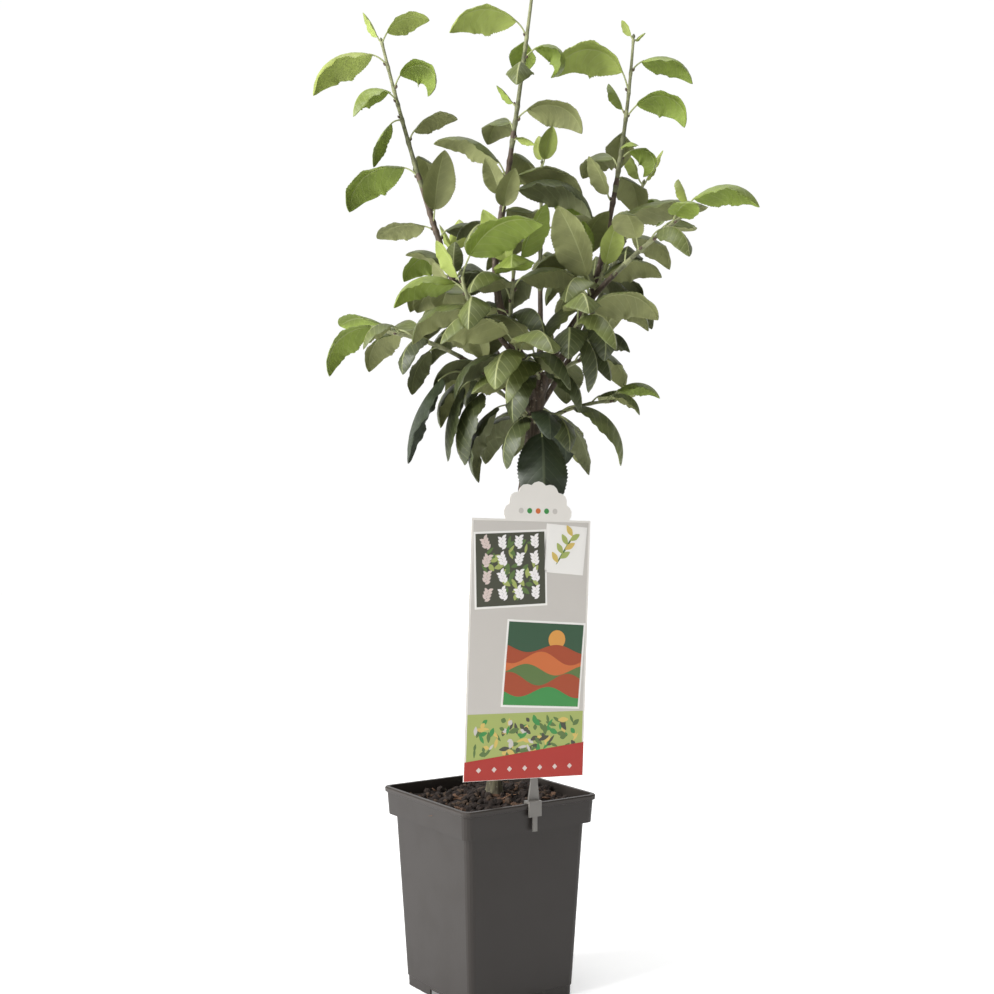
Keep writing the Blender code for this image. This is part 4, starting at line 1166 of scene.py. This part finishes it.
def bark_finish(settings):
    """Bark that turns from greenish at the compost through grey-brown to reddish at the fork."""
    paint = Paint("bark_finish", 0.82)
    crevice_tint_and_shade, lenticel = (0.035, 0.026, 0.020), (0.33, 0.29, 0.23)
    height = paint.node("ShaderNodeSeparateXYZ", values={0: paint.place()}, out="Z")
    height = height + (paint.noise(26) - 0.5) * 0.09
    low = paint.mix(paint.step(height, *TURNS_BROWN), tuple(settings.foot), tuple(settings.middle))
    base = paint.mix(paint.step(height, *TURNS_RED), low, tuple(settings.fork))
    # Dark streaks along the wood: painted shade of the bark's crevices, together with the darker bark in them
    streak = paint.step(paint.noise(420, 4, (1, 1, 0.14)), 0.40, 0.62)
    dark = paint.mix(0.62, base, crevice_tint_and_shade)
    shaded = paint.mix(streak, dark, base)
    fleck = paint.step(paint.noise(300, 2), 0.63, 0.70)
    paint.colour(paint.mix(fleck * 0.5, shaded, lenticel))
    paint.bump(paint.noise(700, 4, (1, 1, 0.3)), 0.25 * MM, 0.6)
    return paint.material


class TREE_OT_bark(bpy.types.Operator):
    """Replace the trunk and the boughs with one meshed surface each that has bark relief"""

    bl_idname = "tree.bark"
    bl_label = "Bark"

    def execute(self, context):
        settings = context.scene.tree_bark
        finish = bark_finish(settings)
        grown = grow_all()
        start = heading(TRUNK_CLOCK[0], TRUNK_RISE[0])[0]
        path = grow(TRUNK_FOOT, TRUNK_LENGTH, TRUNK_CLOCK, TRUNK_RISE, TRUNK_RINGS)
        path.insert(0, TRUNK_FOOT - start * TRUNK_DIP)
        radii = [trunk_radius((point - TRUNK_FOOT).length) for point in path]
        self.limb("trunk", path, radii, TRUNK_SIDES, settings, finish)
        for limb in BOUGHS:
            path = smooth_path(grown[limb.name][0], BOUGH_SPACING)
            count = len(path) - 1
            radii = []
            for step, point in enumerate(path):
                collar = 1 + COLLAR * math.exp(-((point - path[0]).length - COLLAR_REACH) / COLLAR_REACH)
                radii.append(lerp(limb.radius, step / count) * MM * min(COLLAR_MOST, collar))
            self.limb(limb.name, path, radii, BOUGH_SIDES, settings, finish)
        return {"FINISHED"}

    def limb(self, name, line, radii, sides, settings, finish):
        """Adds the bark of a limb, rounded past its tip."""
        chance = random.Random(f"{name} bark")
        along = [0.0]
        for before, after in zip(line, line[1:]):
            along.append(along[-1] + (after - before).length / MM)
        rise = bark_rise(chance, along[-1], radii[len(radii) // 2], settings)
        tip = (line[-1] - line[-2]).normalized()
        for share in TIP_ROUNDING:
            line = line + [line[-1] + tip * radii[-1] * TIP_SPACING]
            radii = radii + [radii[len(along) - 1] * math.sqrt(1 - share**2)]
        along += [along[-1]] * len(TIP_ROUNDING)
        points, faces = tube(line, radii, sides, lambda ring, angle: rise(along[ring], angle, radii[ring]))
        belong(add(f"{name}_bark", points, faces, [finish]), "bark", name)


# Compost


def pot_place(angle, share):
    """A place in the pot: an angle in the pot's own directions, and a share of the way to its wall."""
    half = BAND_WIDTH / 2 - WALL + COMPOST_OVERLAP
    square = abs(math.cos(angle)) ** POT_SQUARENESS + abs(math.sin(angle)) ** POT_SQUARENESS
    reach = half * square ** (-1 / POT_SQUARENESS) * share
    return reach * math.cos(angle + POT_TURN), reach * math.sin(angle + POT_TURN)


def compost_height(x, y, heap):
    """Height of the compost at a place: higher round the trunk and in the rear right corner."""
    near = math.hypot(x - TRUNK_FOOT.x, y - TRUNK_FOOT.y)
    round_trunk = heap * math.exp(-((near / HEAP_REACH) ** 2))
    across, back, rise = CORNER_HEAP
    corner = rise * math.exp(-(((x - across) ** 2 + (y - back) ** 2) / CORNER_REACH**2))
    rough = sum(high * noise.noise(Vector((x, y, 0)) * pitch) for pitch, high in LUMPS)
    return COMPOST_HEIGHT + round_trunk + corner + rough * MM


class TREE_OT_compost(bpy.types.Operator):
    """Lay rough compost in the pot and scatter crumbs, chips of bark and fibres on it"""

    bl_idname = "tree.compost"
    bl_label = "Compost"

    def execute(self, context):
        settings = context.scene.tree_compost
        finishes = [
            mottled("compost_dark", settings.dark, 0.95, 240, 0.4),
            mottled("compost_brown", settings.brown, 0.95, 240, 0.3),
            mottled("compost_chip", settings.chip, 0.85, 200, 0.35),
            mottled("compost_fibre", scaled(settings.chip, 2.2), 0.9, 200, 0.2),
        ]
        points = []
        for ring in range(BED_RINGS):
            share = BED_HOLE + (1 - BED_HOLE) * ring / (BED_RINGS - 1)
            for step in range(BED_SIDES):
                x, y = pot_place(2 * math.pi * step / BED_SIDES, share)
                points.append((x, y, compost_height(x, y, settings.heap)))
        faces = [tuple(reversed(face)) for face in grid_faces(BED_RINGS, BED_SIDES, closed=True)]
        faces.append(tuple(range(BED_SIDES)))
        belong(add("compost_bed", points, faces, finishes[:1]), "compost", "soil")
        belong(self.scatter(settings).add("compost_chips", finishes, smooth=False), "compost", "soil")
        return {"FINISHED"}

    def scatter(self, settings):
        """A pile of lumpy balls stretched to crumbs, chips of bark and fibres."""
        chance = random.Random("compost chips")
        ball = bmesh.new()
        bmesh.ops.create_icosphere(ball, subdivisions=2, radius=1)
        corners = [vert.co.copy() for vert in ball.verts]
        faces = [tuple(vert.index for vert in face.verts) for face in ball.faces]
        ball.free()
        pile = Pile()
        for number in range(settings.chips):
            x, y = pot_place(chance.uniform(0, 2 * math.pi), CHIP_REACH * math.sqrt(chance.random()))
            kind = chance.random()
            if kind < 0.52:
                size, choice = [chance.uniform(1.5, 4.2)] * 3, 0
            elif kind < 0.78:
                size, choice = [chance.uniform(1.2, 3.4)] * 3, 1
            elif kind < 0.93:
                size, choice = [chance.uniform(3, 8), chance.uniform(1.6, 3.4), chance.uniform(0.8, 1.6)], 2
            else:
                size, choice = [chance.uniform(5, 12), 0.45, 0.4], 3
            turn = Matrix.Rotation(chance.uniform(0, 2 * math.pi), 3, "Z") @ Matrix.Rotation(
                chance.gauss(0, 0.4), 3, "X"
            ) @ Matrix.Rotation(chance.gauss(0, 0.3), 3, "Y")
            shift = Vector((number, number * 0.7, 0))
            middle = Vector((x, y, compost_height(x, y, settings.heap) + 0.5 * size[2] * MM))
            points = []
            for corner in corners:
                lump = 1 + CHIP_LUMPS * noise.noise(corner * CHIP_PITCH + shift)
                points.append(middle + turn @ Vector(c * part * lump * MM for c, part in zip(corner, size)))
            pile.put(points, faces, choice)
        return pile


# Pot, card and clip


class TREE_OT_pot(bpy.types.Operator):
    """Give the pot its satin plastic"""

    bl_idname = "tree.pot"
    bl_label = "Pot"

    def execute(self, context):
        tint = tuple(context.scene.tree_finish.pot)
        paint = Paint("pot_finish", 0.42, **{"Specular IOR Level": 0.34})
        height = paint.node("ShaderNodeSeparateXYZ", values={0: paint.place()}, out="Z")
        dust = paint.step(paint.noise(34, 5), 0.42, 0.72)
        # The top of the lip is made paler between two heights
        paler_lip_top = paint.step(height + paint.noise(90) * 0.004, *LIP_PALER_TOP)
        base = paint.mix(dust * 0.12, tint, scaled(tint, 1.4))
        paint.colour(paint.mix(paler_lip_top * 0.5, base, scaled(tint, 2.1)))
        paint.set(paint.shader, {"Roughness": 0.40 + dust * 0.06})
        paint.bump(paint.noise(900, 2), 0.05 * MM, 0.35)
        dress_node("pot", paint.material)
        return {"FINISHED"}


def dress_node(name, finish):
    data = frame["nodes"][name].data
    data.materials.clear()
    data.materials.append(finish)


def card_point(across, up, out):
    """A point on the card from its middle: to the right, up and towards the viewer."""
    right = Vector((math.cos(CARD_TURN), math.sin(CARD_TURN), 0))
    upward = Vector((0, 0, 1))
    x = right * math.cos(CARD_TILT) - upward * math.sin(CARD_TILT)
    z = upward * math.cos(CARD_TILT) + right * math.sin(CARD_TILT)
    return CARD_MIDDLE + x * across + z * up + x.cross(z) * out


class Print:
    """Flat printed shapes on the card, in mm from its middle. A higher layer stands a little prouder."""

    def __init__(self):
        self.pile, self.finishes, self.inks = Pile(), [], {}
        self.middle, self.turn = (0, 0), 0.0

    def ink(self, name, tint):
        self.inks[name] = len(self.finishes)
        self.finishes.append(plain(f"print_{name}", tint, 0.38))

    def shape(self, outline, layer, ink):
        """Adds an outline, turned as the picture is that it stands in."""
        count, c, s = len(outline), math.cos(self.turn), math.sin(self.turn)
        spots = [(self.middle[0] + c * x - s * z, self.middle[1] + s * x + c * z) for x, z in outline]
        points = []
        for out in (PRINT_FOOT, layer):
            points += [card_point(x * MM, z * MM, CARD_THICK + out * LAYER) for x, z in spots]
        faces = grid_faces(2, count, closed=True) + [tuple(range(count, 2 * count))]
        self.pile.put(points, faces, self.inks[ink])

    def box(self, left, right, low, high, layer, ink):
        self.shape([(left, low), (right, low), (right, high), (left, high)], layer, ink)

    def picture(self, middle, wide, high, turn, ink):
        """Starts a picture: a pale frame with a ground of one ink. What follows stands in it."""
        self.middle, self.turn = middle, math.radians(turn)
        for edge, layer, tint in ((0, 1, "paper"), (PICTURE_EDGE, 2, ink)):
            self.box(edge - wide / 2, wide / 2 - edge, edge - high / 2, high / 2 - edge, layer, tint)

    def oval(self, x, z, wide, high, layer, ink, turn=0.0, point=0.0):
        """An ellipse. point draws its ends out, as on a leaf."""
        outline = []
        for step in range(OVAL_SIDES):
            angle = 2 * math.pi * step / OVAL_SIDES
            across, up = wide * math.cos(angle), high * math.sin(angle)
            up *= 1 - point * abs(math.cos(angle)) ** 1.5
            outline.append((
                x + across * math.cos(turn) - up * math.sin(turn),
                z + across * math.sin(turn) + up * math.cos(turn),
            ))
        self.shape(outline, layer, ink)


class TREE_OT_card(bpy.types.Operator):
    """Print plain pictures of sprigs, hills and leaves on the card"""

    bl_idname = "tree.card"
    bl_label = "Card"

    def execute(self, context):
        dress_node("label_card", plain("card_board", context.scene.tree_finish.card, 0.4))
        card = Print()
        for name, tint in (
            ("paper", (0.84, 0.82, 0.78)), ("mist", (0.56, 0.53, 0.49)), ("petal", (0.86, 0.83, 0.82)),
            ("blush", (0.66, 0.55, 0.50)), ("pollen", (0.62, 0.46, 0.12)), ("night", (0.060, 0.062, 0.040)),
            ("deep", (0.030, 0.085, 0.040)), ("leaf", (0.10, 0.17, 0.045)), ("lime", (0.36, 0.42, 0.12)),
            ("rust", (0.36, 0.060, 0.016)), ("orange", (0.58, 0.145, 0.035)), ("gold", (0.66, 0.30, 0.06)),
            ("red", (0.40, 0.022, 0.012)), ("green", (0.045, 0.26, 0.060)),
        ):
            card.ink(name, tint)
        card.box(-61, 61, -95, 120, 0.6, "mist")
        self.sprigs(card)
        self.hills(card)
        self.branch(card)
        self.foot(card)
        belong(card.pile.add("label_print", card.finishes, smooth=False), "card_print")
        return {"FINISHED"}

    def sprigs(self, card):
        """Pale sprigs in rows on dark leaves."""
        chance = random.Random("sprigs")
        card.picture((-21, 75), 76, 72, 3, "night")
        for _ in range(40):
            x, z = chance.uniform(-28, 28), chance.uniform(-27, 27)
            card.oval(x, z, chance.uniform(3, 6), chance.uniform(1.4, 2.6), chance.uniform(2.2, 2.9),
                      chance.choice(("leaf", "lime", "leaf")), chance.uniform(0, math.pi), 0.5)
        for number in range(16):
            x, z = -25.5 + 17 * (number % 4), -24 + 16 * (number // 4)
            lean = chance.uniform(1.1, 2.0)
            for step in range(7):
                reach, turn = 1.6 * step - 4.8, lean + (0.9 if step % 2 else -0.9)
                card.oval(x + reach * math.cos(lean) + 2.4 * math.cos(turn),
                          z + reach * math.sin(lean) + 2.4 * math.sin(turn), 3.1, 1.5,
                          3 + number * 0.02 + step * 0.002, "petal" if number % 4 else "blush", turn, 0.5)

    def hills(self, card):
        """Rows of hills under a low sun."""
        card.picture((17, -15), 84, 82, -3, "deep")
        card.oval(12, 24, 9, 9, 2.4, "gold")
        rows = (
            ("rust", 15, 4, 0.3), ("orange", 6, 6, 1.9), ("leaf", -5, 5, 3.4), ("rust", -14, 6, 5.2),
            ("green", -26, 5, 0.9),
        )
        for number, (ink, height, swing, start) in enumerate(rows):
            ridge = [(x, height + swing * math.sin(0.1 * x + start)) for x in range(40, -41, -2)]
            card.shape([(-40, -39), (40, -39)] + ridge, 2.6 + 0.25 * number, ink)

    def branch(self, card):
        """A small twig with leaves."""
        card.picture((36, 94), 44, 46, -4, "paper")
        card.oval(0, 0, 1, 17, 2.3, "leaf", -0.5)
        for step in range(7):
            turn = 0.6 if step % 2 else 2.2
            x, z = 0.5 * (4.4 * step - 13), 4.4 * step - 13
            card.oval(x + 6 * math.cos(turn), z + 6 * math.sin(turn), 6, 2.8, 2.5 + 0.1 * step,
                      "lime" if step % 3 else "pollen", turn, 0.5)

    def foot(self, card):
        """A strip of scattered leaves above a slanting red band with lozenges, and dots on the tab."""
        chance = random.Random("strip")
        card.middle, card.turn = (0, 0), 0.0
        card.box(-61, 61, -106, -60, 0.8, "lime")
        for _ in range(110):
            x, z = chance.uniform(-54, 54), chance.uniform(-98, -66)
            card.oval(x, z, chance.uniform(2.5, 6), chance.uniform(1.2, 2.6), chance.uniform(0.9, 0.98),
                      chance.choice(("leaf", "pollen", "mist", "leaf", "green", "night")),
                      chance.uniform(0, math.pi), 0.45)
        side, low = CARD_WIDTH / 2 / MM - PRINT_MARGIN, PRINT_MARGIN - CARD_HEIGHT / 2 / MM
        card.shape([(-side, low), (side, low), (side, -90), (-side, -104)], 2.2, "red")
        for x in range(-48, 49, 16):
            card.shape([(x - 2.6, -112), (x, -114.6), (x + 2.6, -112), (x, -109.4)], 2.6, "blush")
        middle = TAB_SHIFT / MM
        for x, ink in zip(range(-18, 19, 9), ("mist", "green", "orange", "green", "mist")):
            card.oval(middle + x, 130, 2.6, 2.6, 1, ink)


class TREE_OT_clip(bpy.types.Operator):
    """Give the card's stalk and clip their cloudy plastic"""

    bl_idname = "tree.clip"
    bl_label = "Clip"

    def execute(self, context):
        dress_node("label_clip", plain("clip_finish", context.scene.tree_finish.clip, 0.32))
        return {"FINISHED"}


def glowing(strength):
    return {"Emission Color": (1, 1, 1, 1), "Emission Strength": strength}


class TREE_OT_stage(bpy.types.Operator):
    """Set the floor, the backdrop, the lights and the camera"""

    bl_idname = "tree.stage"
    bl_label = "Stage"

    def execute(self, context):
        settings = context.scene.tree_stage
        far, back = FLOOR_HALF, BACKDROP_PLACE
        pale = plain("floor_finish", settings.floor, 0.9, **glowing(FLOOR_GLOW))
        glow = plain("backdrop_finish", (0, 0, 0), 1.0, **glowing(1.0))
        ground = [(-far, -far, 0), (far, -far, 0), (far, far, 0), (-far, far, 0)]
        wall = [(-far, back, 0), (far, back, 0), (far, back, far), (-far, back, far)]
        floor = add("floor", ground, [(0, 1, 2, 3)], [pale], smooth=False)
        backdrop = add("backdrop", wall, [(0, 1, 2, 3)], [glow], smooth=False)
        world = bpy.data.worlds.new("studio")
        world.use_nodes = True
        sky = world.node_tree.nodes["Background"]
        sky.inputs["Color"].default_value = (1, 1, 1, 1)
        sky.inputs["Strength"].default_value = settings.around
        context.scene.world = world
        context.scene.view_settings.view_transform = "Standard"
        self.light("key", settings.key, KEY_SIZE, KEY_PLACE, KEY_AIM)
        self.light("top", settings.top, TOP_SIZE, TOP_PLACE, (0, 0, 0))
        lens = bpy.data.cameras.new("view")
        lens.sensor_width = SENSOR
        lens.lens = settings.lens
        lens.shift_y = CAMERA_SHIFT
        camera = bpy.data.objects.new("view", lens)
        camera.location = CAMERA_PLACE
        camera.rotation_euler = (math.radians(90), 0, 0)
        context.scene.collection.objects.link(camera)
        context.scene.camera = camera
        return {"FINISHED"}

    def light(self, name, power, size, place, aim):
        data = bpy.data.lights.new(name, "AREA")
        data.energy = power
        data.size = size
        lamp = bpy.data.objects.new(name, data)
        lamp.location = place
        lamp.rotation_euler = (Vector(aim) - Vector(place)).to_track_quat("-Z", "Y").to_euler()
        bpy.context.scene.collection.objects.link(lamp)


OPERATORS = (
    TREE_OT_pot, TREE_OT_compost, TREE_OT_bark, TREE_OT_foliage, TREE_OT_card, TREE_OT_clip, TREE_OT_stage,
)
SETTINGS = (
    (LeafSettings, "tree_leaf"), (BarkSettings, "tree_bark"), (CompostSettings, "tree_compost"),
    (FinishSettings, "tree_finish"), (StageSettings, "tree_stage"),
)


class TREE_PT_panel(bpy.types.Panel):
    """Lists the pieces and their settings"""

    bl_label = "Potted Dwarf Tree"
    bl_idname = "TREE_PT_panel"
    bl_space_type = "VIEW_3D"
    bl_region_type = "UI"
    bl_category = "Tree"

    def draw(self, context):
        for operator in OPERATORS:
            self.layout.operator(operator.bl_idname)
        for group, name in SETTINGS:
            box = self.layout.box()
            box.label(text=group.__name__.removesuffix("Settings"))
            for field in group.__annotations__:
                box.prop(getattr(context.scene, name), field)


def register():
    for group, name in SETTINGS:
        bpy.utils.register_class(group)
        setattr(bpy.types.Scene, name, PointerProperty(type=group))
    for operator in OPERATORS:
        bpy.utils.register_class(operator)
    bpy.utils.register_class(TREE_PT_panel)


def unregister():
    bpy.utils.unregister_class(TREE_PT_panel)
    for operator in reversed(OPERATORS):
        bpy.utils.unregister_class(operator)
    for group, name in reversed(SETTINGS):
        delattr(bpy.types.Scene, name)
        bpy.utils.unregister_class(group)


def main():
    register()
    for operator in OPERATORS:
        family, name = operator.bl_idname.split(".")
        getattr(getattr(bpy.ops, family), name)()


if __name__ == "__main__":
    main()
